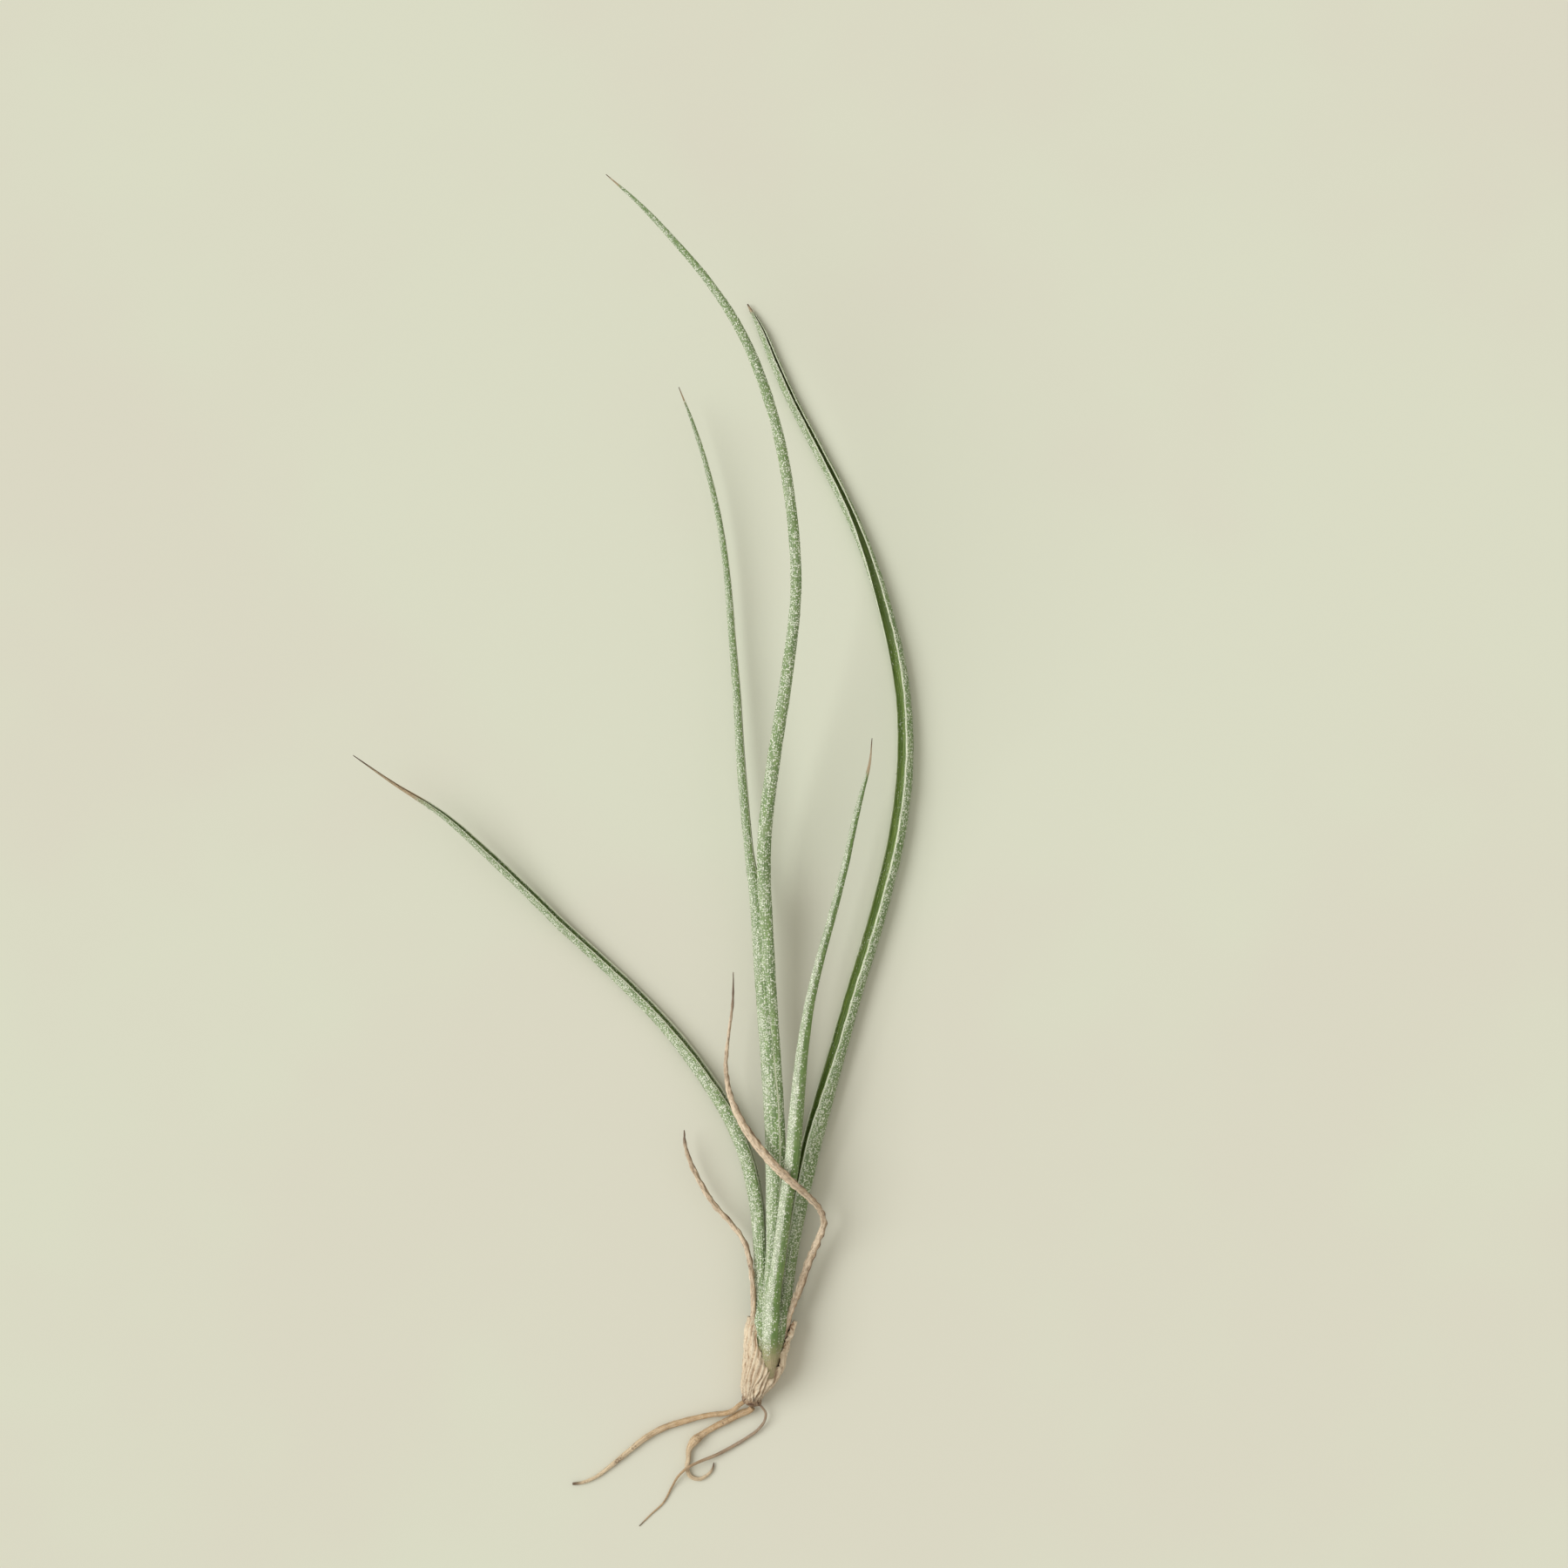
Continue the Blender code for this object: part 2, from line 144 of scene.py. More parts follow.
DRY_LEAVES = (
    Leaf("dry_leaf_right", 0.5, (
        (24.1, -78.5, 4.0, 0.38), (24.9, -75.8, 4.1, 0.42), (25.6, -73.2, 4.1, 0.48),
        (27.0, -69.6, 3.9, 0.60), (28.3, -65.8, 3.8, 0.62), (29.8, -62.2, 4.2, 0.58),
        (30.7, -59.4, 5.2, 0.50), (30.0, -57.0, 6.6, 0.48), (28.2, -54.9, 8.2, 0.55),
        (25.6, -52.4, 9.8, 0.65), (22.7, -49.7, 8.9, 0.72), (19.9, -46.5, 7.7, 0.70),
        (17.6, -43.1, 6.8, 0.62), (15.8, -39.0, 6.2, 0.48), (15.1, -34.4, 6.0, 0.34),
        (15.5, -29.6, 6.1, 0.25), (16.2, -24.0, 6.4, 0.20), (16.3, -19.3, 6.8, 0.06),
    ), ((0.0, 185, 110), (1.0, 185, 125)), (), (), 9.0, 61),
    Leaf("dry_leaf_left", 0.5, (
        (19.3, -77.5, 4.4, 0.38), (19.5, -73.0, 4.65, 0.42), (19.35, -69.0, 4.4, 0.42),
        (18.9, -65.4, 3.8, 0.42), (17.9, -62.4, 3.3, 0.42), (16.0, -59.8, 3.0, 0.42),
        (13.2, -56.7, 2.8, 0.42), (11.0, -53.2, 2.7, 0.42), (9.3, -49.7, 2.9, 0.36),
        (8.5, -46.8, 3.2, 0.26), (8.4, -44.7, 3.5, 0.08),
    ), ((0.0, 175, 110), (1.0, 175, 125)), (), (), 3.0, 67),
)

# A station is x, y, z, radius, first angle, last angle.
SHEATHS = (
    ("sheath_left", 71, (
        (19.15, -87.6, 1.8, 1.50, 150, 400), (19.6, -85.6, 2.4, 2.12, 150, 432),
        (20.0, -84.6, 2.7, 2.50, 155, 432), (20.4, -83.6, 3.0, 2.82, 160, 426),
        (20.9, -82.2, 3.3, 3.14, 170, 398), (21.2, -81.0, 3.4, 3.30, 175, 362),
        (21.4, -79.0, 3.5, 3.40, 182, 338), (21.5, -77.2, 3.5, 3.34, 196, 327),
        (21.6, -75.8, 3.5, 3.20, 222, 318), (21.6, -74.5, 3.5, 3.10, 250, 300),
    )),
    ("sheath_right", 73, (
        (19.15, -87.9, 1.7, 1.62, -75, 170), (19.25, -87.0, 1.95, 1.85, -28, 168),
        (19.6, -85.6, 2.4, 2.40, 2, 166), (20.1, -84.4, 2.8, 2.85, 24, 162),
        (20.7, -83.0, 3.1, 3.15, 46, 158), (21.2, -81.2, 3.4, 3.45, 56, 150),
        (21.5, -78.8, 3.5, 3.60, 64, 138), (22.3, -76.2, 3.5, 3.60, 74, 122),
        (23.4, -73.9, 3.4, 3.45, 84, 100),
    )),
)

ROOTS = (
    ("root_long", 79, (
        (17.9, -88.4, 1.9, 0.36), (17.2, -88.9, 1.9, 0.36), (16.2, -89.8, 1.75, 0.40),
        (14.8, -90.3, 1.5, 0.42), (13.2, -90.5, 1.2, 0.42), (10.0, -91.2, 0.8, 0.44),
        (7.6, -91.9, 0.65, 0.50), (5.4, -92.6, 0.6, 0.50), (2.4, -94.2, 0.55, 0.47),
        (-0.8, -96.7, 0.5, 0.40), (-3.6, -99.0, 0.42, 0.33), (-6.1, -100.8, 0.35, 0.27),
        (-8.1, -101.6, 0.3, 0.24), (-9.6, -101.8, 0.28, 0.20),
    )),
    ("root_knotted", 83, (
        (19.3, -89.4, 1.3, 0.50), (18.9, -89.8, 1.1, 0.52), (17.4, -90.4, 0.95, 0.55),
        (15.4, -91.5, 0.8, 0.53), (13.2, -92.6, 0.7, 0.50), (11.1, -93.9, 0.7, 0.56),
        (9.9, -94.9, 0.85, 0.74), (9.1, -96.3, 0.65, 0.44), (9.0, -97.8, 0.5, 0.37),
        (8.8, -99.3, 0.42, 0.35), (9.3, -100.5, 0.38, 0.33), (10.7, -101.0, 0.35, 0.30),
        (12.0, -100.4, 0.33, 0.25), (12.9, -99.3, 0.33, 0.17), (13.1, -98.4, 0.33, 0.08),
    )),
    ("root_thin", 89, (
        (20.2, -88.6, 1.9, 0.19), (20.9, -89.4, 1.5, 0.19), (21.4, -90.2, 1.3, 0.20),
        (21.3, -91.4, 1.0, 0.21), (20.3, -92.9, 0.7, 0.23), (18.5, -94.3, 0.5, 0.25),
        (16.0, -95.8, 0.5, 0.26), (13.0, -97.3, 0.75, 0.26), (10.8, -98.1, 1.15, 0.24),
        (8.8, -99.1, 1.4, 0.22), (7.3, -100.6, 0.9, 0.19), (6.3, -102.4, 0.4, 0.16),
        (5.0, -104.8, 0.2, 0.13), (2.9, -106.8, 0.15, 0.11), (1.1, -108.6, 0.12, 0.06),
    )),
)

# The stem base: its root end, its leaf end, and its profile as share of length and radius.
KNOB_START = (19.0, -88.9, 1.6)
KNOB_END = (20.4, -83.4, 2.8)
KNOB_PROFILE = ((0.0, 0.35), (0.02, 1.0), (0.06, 1.45), (0.12, 1.62), (0.19, 1.5), (0.26, 1.2), (0.9, 1.1),
                (1.0, 0.6))

# Distances between rings in mm, and points across or round each kind of piece.
DRY_STEP, DRY_POINTS = 0.18, 37
SHEATH_STEP, SHEATH_POINTS = 0.12, 121
ROOT_STEP, ROOT_SIDES = 0.12, 28
KNOB_RINGS, KNOB_SIDES = 90, 72

SHEATH_HALF_WALL = 0.13
RIB_PITCH = 0.75
DRY_FLAT_WIDTH = 2.2
VEIN_WAVES = 15.0

PALE_PATCH = (0.30, 0.36, 0.16, 1.0)
OLIVE, OLIVE_TAN = (0.30, 0.27, 0.13, 1.0), (0.42, 0.33, 0.20, 1.0)
TIP_FIBRE = (0.62, 0.52, 0.38, 1.0)
SCALE_SHADE, SCALE_LIGHT = (0.62, 0.70, 0.48, 1.0), (0.86, 0.88, 0.74, 1.0)
DRY_FIBRE = (0.74, 0.64, 0.50, 1.0)
# Sheath cream of the pale patches, also the painted light on the sheaths' rib crests.
SHEATH_PALE_AND_CREST_LIGHT = (0.74, 0.64, 0.48)
THIN_ROOT_BROWN = (0.300, 0.215, 0.150)

CAMERA_PLACE = (0.02386, 0.01224)
SUN_DIRECTION = (1.0, -0.18, -0.95)
SUN_COLOUR = (0.97, 1.0, 1.0)
SKY_COLOUR = (1.0, 0.965, 0.875, 1.0)
# Tint of the floor's pinker clouds, painted shade.
FLOOR_SHADE_TINT = (1.0, 0.96, 0.985)


# Curves and surfaces

def lengths_along(points):
    """How far along the line each of its points is."""
    return np.concatenate([[0.0], np.cumsum(np.linalg.norm(np.diff(points, axis=0), axis=1))])


def even_route(stations, step):
    """The stations read off at even steps of length, with how far along each one is.

    Between two stations the curve is the cubic that leaves and arrives along weighted slopes.
    """
    knots = np.array(stations, float)
    chord = lengths_along(knots[:, :3])
    steps = np.diff(chord)[:, None]
    slopes = np.diff(knots, axis=0) / steps
    inner = (slopes[:-1] * steps[1:] + slopes[1:] * steps[:-1]) / (steps[1:] + steps[:-1])
    slopes = np.vstack([slopes[:1], inner, slopes[-1:]])

    def at(distance):
        i = np.clip(np.searchsorted(chord, distance, side="right") - 1, 0, len(steps) - 1)
        t = (distance - chord[i])[:, None] / steps[i]
        return ((2 * t**3 - 3 * t**2 + 1) * knots[i] + (t**3 - 2 * t**2 + t) * steps[i] * slopes[i]
                + (3 * t**2 - 2 * t**3) * knots[i + 1] + (t**3 - t**2) * steps[i] * slopes[i + 1])

    fine = np.linspace(0.0, chord[-1], 60 * len(knots))
    length = lengths_along(at(fine)[:, :3])
    even = np.linspace(0.0, length[-1], round(length[-1] / step) + 1)
    return at(np.interp(even, length, fine)), even


def section_axes(centres):
    """Unit vectors along the path, to its right and upwards from it."""
    along = np.gradient(centres, axis=0)
    along /= np.linalg.norm(along, axis=1)[:, None]
    right = np.cross(along, (0.0, 0.0, 1.0))
    right /= np.linalg.norm(right, axis=1)[:, None]
    return along, right, np.cross(right, along)


def ring_points(centres, radii, angles):
    """Centre + radius x (sine of the angle to the right + cosine of the angle upwards)."""
    _, right, up = section_axes(centres)
    sideways = (radii * np.sin(angles))[..., None] * right[:, None]
    return centres[:, None] + sideways + (radii * np.cos(angles))[..., None] * up[:, None]


def ripples(along, across, seed, pitch, count=9):
    """Unevenness of about -1 to 1: sines of random pitch, slant and phase, over the root of their number."""
    rng = np.random.default_rng(seed)
    spread = rng.uniform(0.5, 1.6, (2, count, 1, 1))
    turn = 2.0 * math.pi / pitch * spread * rng.choice((-1.0, 1.0), (2, count, 1, 1))
    phase = rng.uniform(0.0, 2.0 * math.pi, (count, 1, 1))
    waves = np.sin(turn[0] * np.atleast_2d(along) + turn[1] * np.atleast_2d(across) + phase)
    return waves.sum(axis=0) / math.sqrt(count) / 1.5


def bump_at(value, middle, width):
    """A smooth bump of height 1 at the middle, falling as a bell curve."""
    return np.exp(-(((value - middle) / width) ** 2))


def ramp(value, low, high):
    """0 up to low, 1 from high on, and a smooth step between."""
    t = np.clip((value - low) / (high - low), 0.0, 1.0)
    return t * t * (3.0 - 2.0 * t)


class Surface(NamedTuple):
    """Rings of points in mm, with the place of each point along and across, and the marks its material reads."""

    points: np.ndarray
    along: np.ndarray
    across: np.ndarray
    marks: dict


def mesh_object(name, points, face_sets, uv=None, marks=None):
    """A smooth mesh object from points in mm and arrays of faces. Marks are values per point."""
    mesh = bpy.data.meshes.new(name)
    mesh.vertices.add(len(points))
    mesh.vertices.foreach_set("co", ((points - OUTLINE_MIDDLE) * MM).astype(np.float32).ravel())
    corners = np.concatenate([faces.ravel() for faces in face_sets]).astype(np.int32)
    sizes = np.concatenate([np.full(len(faces), faces.shape[1]) for faces in face_sets])
    mesh.loops.add(len(corners))
    mesh.loops.foreach_set("vertex_index", corners)
    mesh.polygons.add(len(sizes))
    mesh.polygons.foreach_set("loop_start", np.concatenate([[0], np.cumsum(sizes)[:-1]]).astype(np.int32))
    mesh.update(calc_edges=True)
    mesh.shade_smooth()
    if uv is not None:
        layer = mesh.uv_layers.new(name="width_and_length")
        layer.data.foreach_set("uv", uv[corners].astype(np.float32).ravel())
    for mark, values in (marks or {}).items():
        attribute = mesh.attributes.new(mark, "FLOAT", "POINT")
        attribute.data.foreach_set("value", values.astype(np.float32).ravel())
    obj = bpy.data.objects.new(name, mesh)
    bpy.context.scene.collection.objects.link(obj)
    return obj


def tube_object(name, surface):
    """The surface's rings joined round and along, and closed at both ends by a fan to a pole."""
    rows, columns = surface.points.shape[:2]
    index = np.arange(rows * columns).reshape(rows, columns)
    beside = np.roll(index, -1, axis=1)
    quads = np.stack([index[:-1], beside[:-1], beside[1:], index[1:]], axis=-1).reshape(-1, 4)
    first_pole, last_pole = rows * columns, rows * columns + 1
    start = np.stack([beside[0], index[0], np.full(columns, first_pole)], axis=-1)
    end = np.stack([index[-1], beside[-1], np.full(columns, last_pole)], axis=-1)
    rings = surface.points
    points = np.vstack([rings.reshape(-1, 3), rings[0].mean(axis=0), rings[-1].mean(axis=0)])

    def with_poles(values):
        return np.concatenate([values.ravel(), [values[0].mean(), values[-1].mean()]])

    uv = np.column_stack([with_poles(surface.across), with_poles(surface.along)])
    marks = {mark: with_poles(values) for mark, values in surface.marks.items()}
    return mesh_object(name, points, [quads, start, end], uv, marks)


def wall_walk(columns):
    """The place from -1 to 1 and back by a cosine, and the side: 1 on the way out and -1 on the way back."""
    place = -np.cos(np.linspace(0.0, math.pi, columns))
    place = np.concatenate([place, place[-2:0:-1]])
    return place, np.concatenate([np.ones(columns), -np.ones(columns - 2)])


def channel(route, turns, wall, step, columns):
    """A rolled strip: an outer wall from margin to margin and an inner wall back, meeting in rounded margins.

    The half thickness follows the square root of 1 - |place|^6, so the wall is even and its margins are round.
    Returns the stations, lengths, angles, place from -1 to 1, side (1 outer, -1 inner) and radii.
    """
    stations, length = even_route(route, step)
    share = length / length[-1]
    turn_share, opening, reach = np.array(turns, float).T
    opening, reach = np.interp(share, turn_share, opening), np.interp(share, turn_share, reach)
    place, side = wall_walk(columns)
    angles = opening[:, None] + 180.0 + reach[:, None] * place
    radius = stations[:, 3:4]
    half = 0.5 * wall * radius * np.sqrt(np.clip(1.0 - np.abs(place) ** 6, 0.0, 1.0))
    radii = radius * (1.0 - 0.5 * wall) + side * half
    return stations, length, angles, place, side, radii


def band_values(angles, bands):
    """The scale cover and yellowness at these angles, read between the bands, painted light and shade of the outer
    bands included.
    """
    angle, silver, bare = np.array(bands, float).T
    middle = 0.5 * (angle[0] + angle[-1])
    turned = (angles - middle + 180.0) % 360.0 - 180.0 + middle
    return np.interp(turned, angle, silver), np.interp(turned, angle, bare)


# Shader nodes

def add_node(tree, kind, inputs=None, **settings):
    """A node with these settings. An input given as a socket is linked, and anything else is set as its value."""
    node = tree.nodes.new(kind)
    for setting, value in settings.items():
        setattr(node, setting, value)
    for key, value in (inputs or {}).items():
        if isinstance(value, bpy.types.NodeSocket):
            tree.links.new(value, node.inputs[key])
        else:
            node.inputs[key].default_value = value
    return node


def maths(tree, operation, first, second=0.0):
    return add_node(tree, "ShaderNodeMath", {0: first, 1: second}, operation=operation).outputs[0]


def stepped(tree, value, low, high, start=0.0, end=1.0):
    """A smooth step from start at low to end at high."""
    values = {"Value": value, "From Min": low, "From Max": high, "To Min": start, "To Max": end}
    return add_node(tree, "ShaderNodeMapRange", values, interpolation_type="SMOOTHSTEP").outputs["Result"]


def blended(tree, factor, first, second, blend="MIX"):
    """The second colour over the first by the factor."""
    node = add_node(tree, "ShaderNodeMix", data_type="RGBA", blend_type=blend)
    for socket, value in ((node.inputs[0], factor), (node.inputs[6], first), (node.inputs[7], second)):
        if isinstance(value, bpy.types.NodeSocket):
            tree.links.new(value, socket)
        else:
            socket.default_value = value
    return node.outputs[2]


def in_cells(tree, place, size):
    """The place measured in cells of this size."""
    share = maths(tree, "DIVIDE", 1.0, size)
    return add_node(tree, "ShaderNodeVectorMath", {0: place, "Scale": share}, operation="SCALE").outputs[0]


def mark(tree, name):
    return add_node(tree, "ShaderNodeAttribute", attribute_name=name).outputs["Fac"]


def new_group(name, inputs, outputs):
    """An empty node group with these sockets, and its input and output nodes' sockets."""
    tree = bpy.data.node_groups.new(name, "ShaderNodeTree")
    for socket, kind, default in inputs:
        made = tree.interface.new_socket(socket, in_out="INPUT", socket_type=kind)
        if default is not None:
            made.default_value = default
    for socket, kind in outputs:
        tree.interface.new_socket(socket, in_out="OUTPUT", socket_type=kind)
    return tree, tree.nodes.new("NodeGroupInput").outputs, tree.nodes.new("NodeGroupOutput").inputs


def silver_scales_group():
    """Round pale scales on part of the cells of a random lattice, as many as the cover asks for."""
    tree, given, result = new_group(
        "Silver Scales",
        [("Coordinates", "NodeSocketVector", None), ("Cover", "NodeSocketFloat", 0.5),
         ("Size", "NodeSocketFloat", 0.3)],
        [("Scales", "NodeSocketFloat"), ("Tone", "NodeSocketFloat"), ("Height", "NodeSocketFloat")])
    longer = add_node(tree, "ShaderNodeVectorMath", {0: given["Coordinates"], 1: (1.0, 0.62, 1.0)},
                      operation="MULTIPLY").outputs[0]
    cells = in_cells(tree, longer, given["Size"])
    lattice = add_node(tree, "ShaderNodeTexVoronoi", {"Vector": cells, "Scale": 1.0}, voronoi_dimensions="2D")
    chance = add_node(tree, "ShaderNodeSeparateColor", {"Color": lattice.outputs["Color"]}).outputs
    present = stepped(tree, maths(tree, "SUBTRACT", given["Cover"], chance["Red"]), -0.08, 0.12)
    scales = maths(tree, "MULTIPLY", present, stepped(tree, lattice.outputs["Distance"], 0.3, 0.62, 1.0, 0.0))
    tree.links.new(scales, result["Scales"])
    tree.links.new(chance["Green"], result["Tone"])
    tree.links.new(scales, result["Height"])
    return tree


def long_fibres_group():
    """Fine lines along the piece, from noise stretched along its length."""
    tree, given, result = new_group(
        "Long Fibres",
        [("Coordinates", "NodeSocketVector", None), ("Width", "NodeSocketFloat", 0.3),
         ("Length", "NodeSocketFloat", 12.0)],
        [("Lines", "NodeSocketFloat"), ("Height", "NodeSocketFloat")])
    parts = add_node(tree, "ShaderNodeSeparateXYZ", {"Vector": given["Coordinates"]}).outputs
    wide = maths(tree, "DIVIDE", parts["X"], given["Width"])
    long = maths(tree, "DIVIDE", parts["Y"], given["Length"])
    stretched = add_node(tree, "ShaderNodeCombineXYZ", {"X": wide, "Y": long}).outputs[0]
    noise = add_node(tree, "ShaderNodeTexNoise", {"Vector": stretched, "Scale": 1.0, "Detail": 3.0,
                                                  "Roughness": 0.6}, noise_dimensions="2D").outputs["Fac"]
    tree.links.new(stepped(tree, noise, 0.38, 0.62), result["Lines"])
    tree.links.new(noise, result["Height"])
    return tree


def blotches_group():
    """Soft patches of one size with smaller ones in them."""
    tree, given, result = new_group(
        "Blotches",
        [("Coordinates", "NodeSocketVector", None), ("Size", "NodeSocketFloat", 3.0),
         ("Low", "NodeSocketFloat", 0.42), ("High", "NodeSocketFloat", 0.62)],
        [("Patches", "NodeSocketFloat")])
    cells = in_cells(tree, given["Coordinates"], given["Size"])
    noise = add_node(tree, "ShaderNodeTexNoise", {"Vector": cells, "Scale": 1.0, "Detail": 4.0,
                                                  "Roughness": 0.62}).outputs["Fac"]
    tree.links.new(stepped(tree, noise, given["Low"], given["High"]), result["Patches"])
    return tree


def shared_group(name):
    """One of the node groups that several materials use, built the first time that it is asked for."""
    builders = {"Silver Scales": silver_scales_group, "Long Fibres": long_fibres_group, "Blotches": blotches_group}
    return bpy.data.node_groups.get(name) or builders[name]()


def grouped(tree, name, **inputs):
    return add_node(tree, "ShaderNodeGroup", inputs, node_tree=shared_group(name)).outputs


def new_material(name):
    """A material's tree, its Principled shader and its width-and-length coordinates in mm."""
    material = bpy.data.materials.new(name)
    material.use_nodes = True
    tree = material.node_tree
    shader = tree.nodes["Principled BSDF"]
    flat = add_node(tree, "ShaderNodeUVMap", uv_map="width_and_length").outputs["UV"]
    return material, tree, shader, flat


def finish_shader(tree, shader, colour, roughness, height, depth):
    """Feeds colour and roughness, and a bump of this depth in mm, to the shader."""
    tree.links.new(colour, shader.inputs["Base Color"])
    tree.links.new(roughness, shader.inputs["Roughness"])
    bump = add_node(tree, "ShaderNodeBump", {"Height": height, "Strength": 1.0, "Distance": depth * MM})
    tree.links.new(bump.outputs["Normal"], shader.inputs["Normal"])


def opaque(colour):
    return (*colour, 1.0)


# Settings

def colour_setting(name, description, default):
    return FloatVectorProperty(name=name, description=description, subtype="COLOR", size=3, min=0.0, max=1.0,
                               default=default)


class AIRPLANT_PG_leaves(bpy.types.PropertyGroup):
    """The living leaves."""

    green: colour_setting("Leaf green", "Green of the leaf under its scales", (0.150, 0.255, 0.060))
    # Also the green of the painted shade on right-hand outer faces.
    yellow_green: colour_setting("Bare green", "Green of the nearly bare inner face", (0.260, 0.360, 0.085))
    deep_green: colour_setting("Vein green", "Green of the lines between the veins", (0.060, 0.120, 0.025))
    # Also the colour of the haze that paints light on lit faces.
    silver: colour_setting("Silver", "Colour of the scales", (0.880, 0.910, 0.750))
    margin: colour_setting("Margin", "Colour of the thin pale margins", (0.800, 0.830, 0.640))
    dry_tip: colour_setting("Dry tip", "Colour of the withered tips", (0.420, 0.300, 0.170))
    dark_tip: colour_setting("Tip end", "Colour of the very ends", (0.110, 0.050, 0.030))
    scale_size: FloatProperty(name="Scale size", description="Width of one scale of the silver cover, in mm",
                              default=0.165, min=0.1, max=1.0)
    ring_step: FloatProperty(name="Ring step", description="Distance between two rings of points, in mm",
                             default=0.6, min=0.2, max=5.0)
    wall_points: IntProperty(name="Wall points", description="Points from margin to margin", default=81, min=9)
    vein_depth: FloatProperty(name="Vein depth", description="Height of the ridges along the leaf, in mm",
                              default=0.035, min=0.0, max=0.3)
    flake_spacing: FloatProperty(name="Flake spacing", description="Distance between raised scales, in mm",
                                 default=0.25, min=0.15, max=2.0)
    flake_length: FloatProperty(name="Flake length", description="Length of one raised scale, in mm",
                                default=0.28, min=0.1, max=2.0)
    flake_lift: FloatProperty(name="Flake lift", description="How far a scale's free end stands off, in mm",
                              default=0.06, min=0.0, max=0.5)


class AIRPLANT_PG_dry(bpy.types.PropertyGroup):
    """The withered leaves, the sheaths, the roots and the stem base."""

    tan: colour_setting("Withered tan", "Main colour of the withered leaves", (0.500, 0.350, 0.210))
    pink: colour_setting("Withered pink", "Paler colour of the withered leaves", (0.720, 0.575, 0.415))
    stain: colour_setting("Stain", "Dark brown of the stains and edges", (0.085, 0.040, 0.020))
    paper: colour_setting("Sheath cream", "Main colour of the papery sheaths", (0.690, 0.540, 0.370))
    # Also the painted shade deep in the sheaths' rib creases, beside the brown of their fibres, specks, margins
    # and root end.
    brown_and_crease_shade: colour_setting("Sheath crease", "Colour deep in the creases", (0.210, 0.110, 0.050))
    root: colour_setting("Root tan", "Main colour of the roots", (0.480, 0.300, 0.140))
    root_pale: colour_setting("Root cream", "Pale colour of the younger roots", (0.690, 0.540, 0.350))
    base: colour_setting("Stem base", "Dark brown of the stem base", (0.190, 0.105, 0.050))
    wrinkle: FloatProperty(name="Wrinkle depth", description="Depth of the wrinkles in withered leaves, in mm",
                           default=0.09, min=0.0, max=0.5)


class AIRPLANT_PG_stage(bpy.types.PropertyGroup):
    """The surface, the lights and the camera."""

    floor: colour_setting("Floor", "Colour of the surface that the plant lies on", (0.668, 0.680, 0.560))
    floor_side: FloatProperty(name="Floor side", description="Side of the square surface", subtype="DISTANCE",
                              default=8.0, min=1.0)
    sun: FloatProperty(name="Sun", description="Strength of the soft light from the left", default=2.15, min=0.0)
    sun_width: FloatProperty(name="Sun width", description="How wide the soft light is, in degrees", default=42.0,
                             min=0.0, max=90.0)
    sky: FloatProperty(name="Sky", description="Strength of the even light from all round", default=0.60, min=0.0)
    camera_height: FloatProperty(name="Camera height", description="Height of the camera above the surface",
                                 subtype="DISTANCE", default=0.7, min=0.1)
    view_width: FloatProperty(name="View width", description="Width of the surface that the camera sees",
                              subtype="DISTANCE", default=0.252, min=0.05)


def settings():
    return bpy.context.scene.air_plant_leaves, bpy.context.scene.air_plant_dry, bpy.context.scene.air_plant_stage


# Living leaves

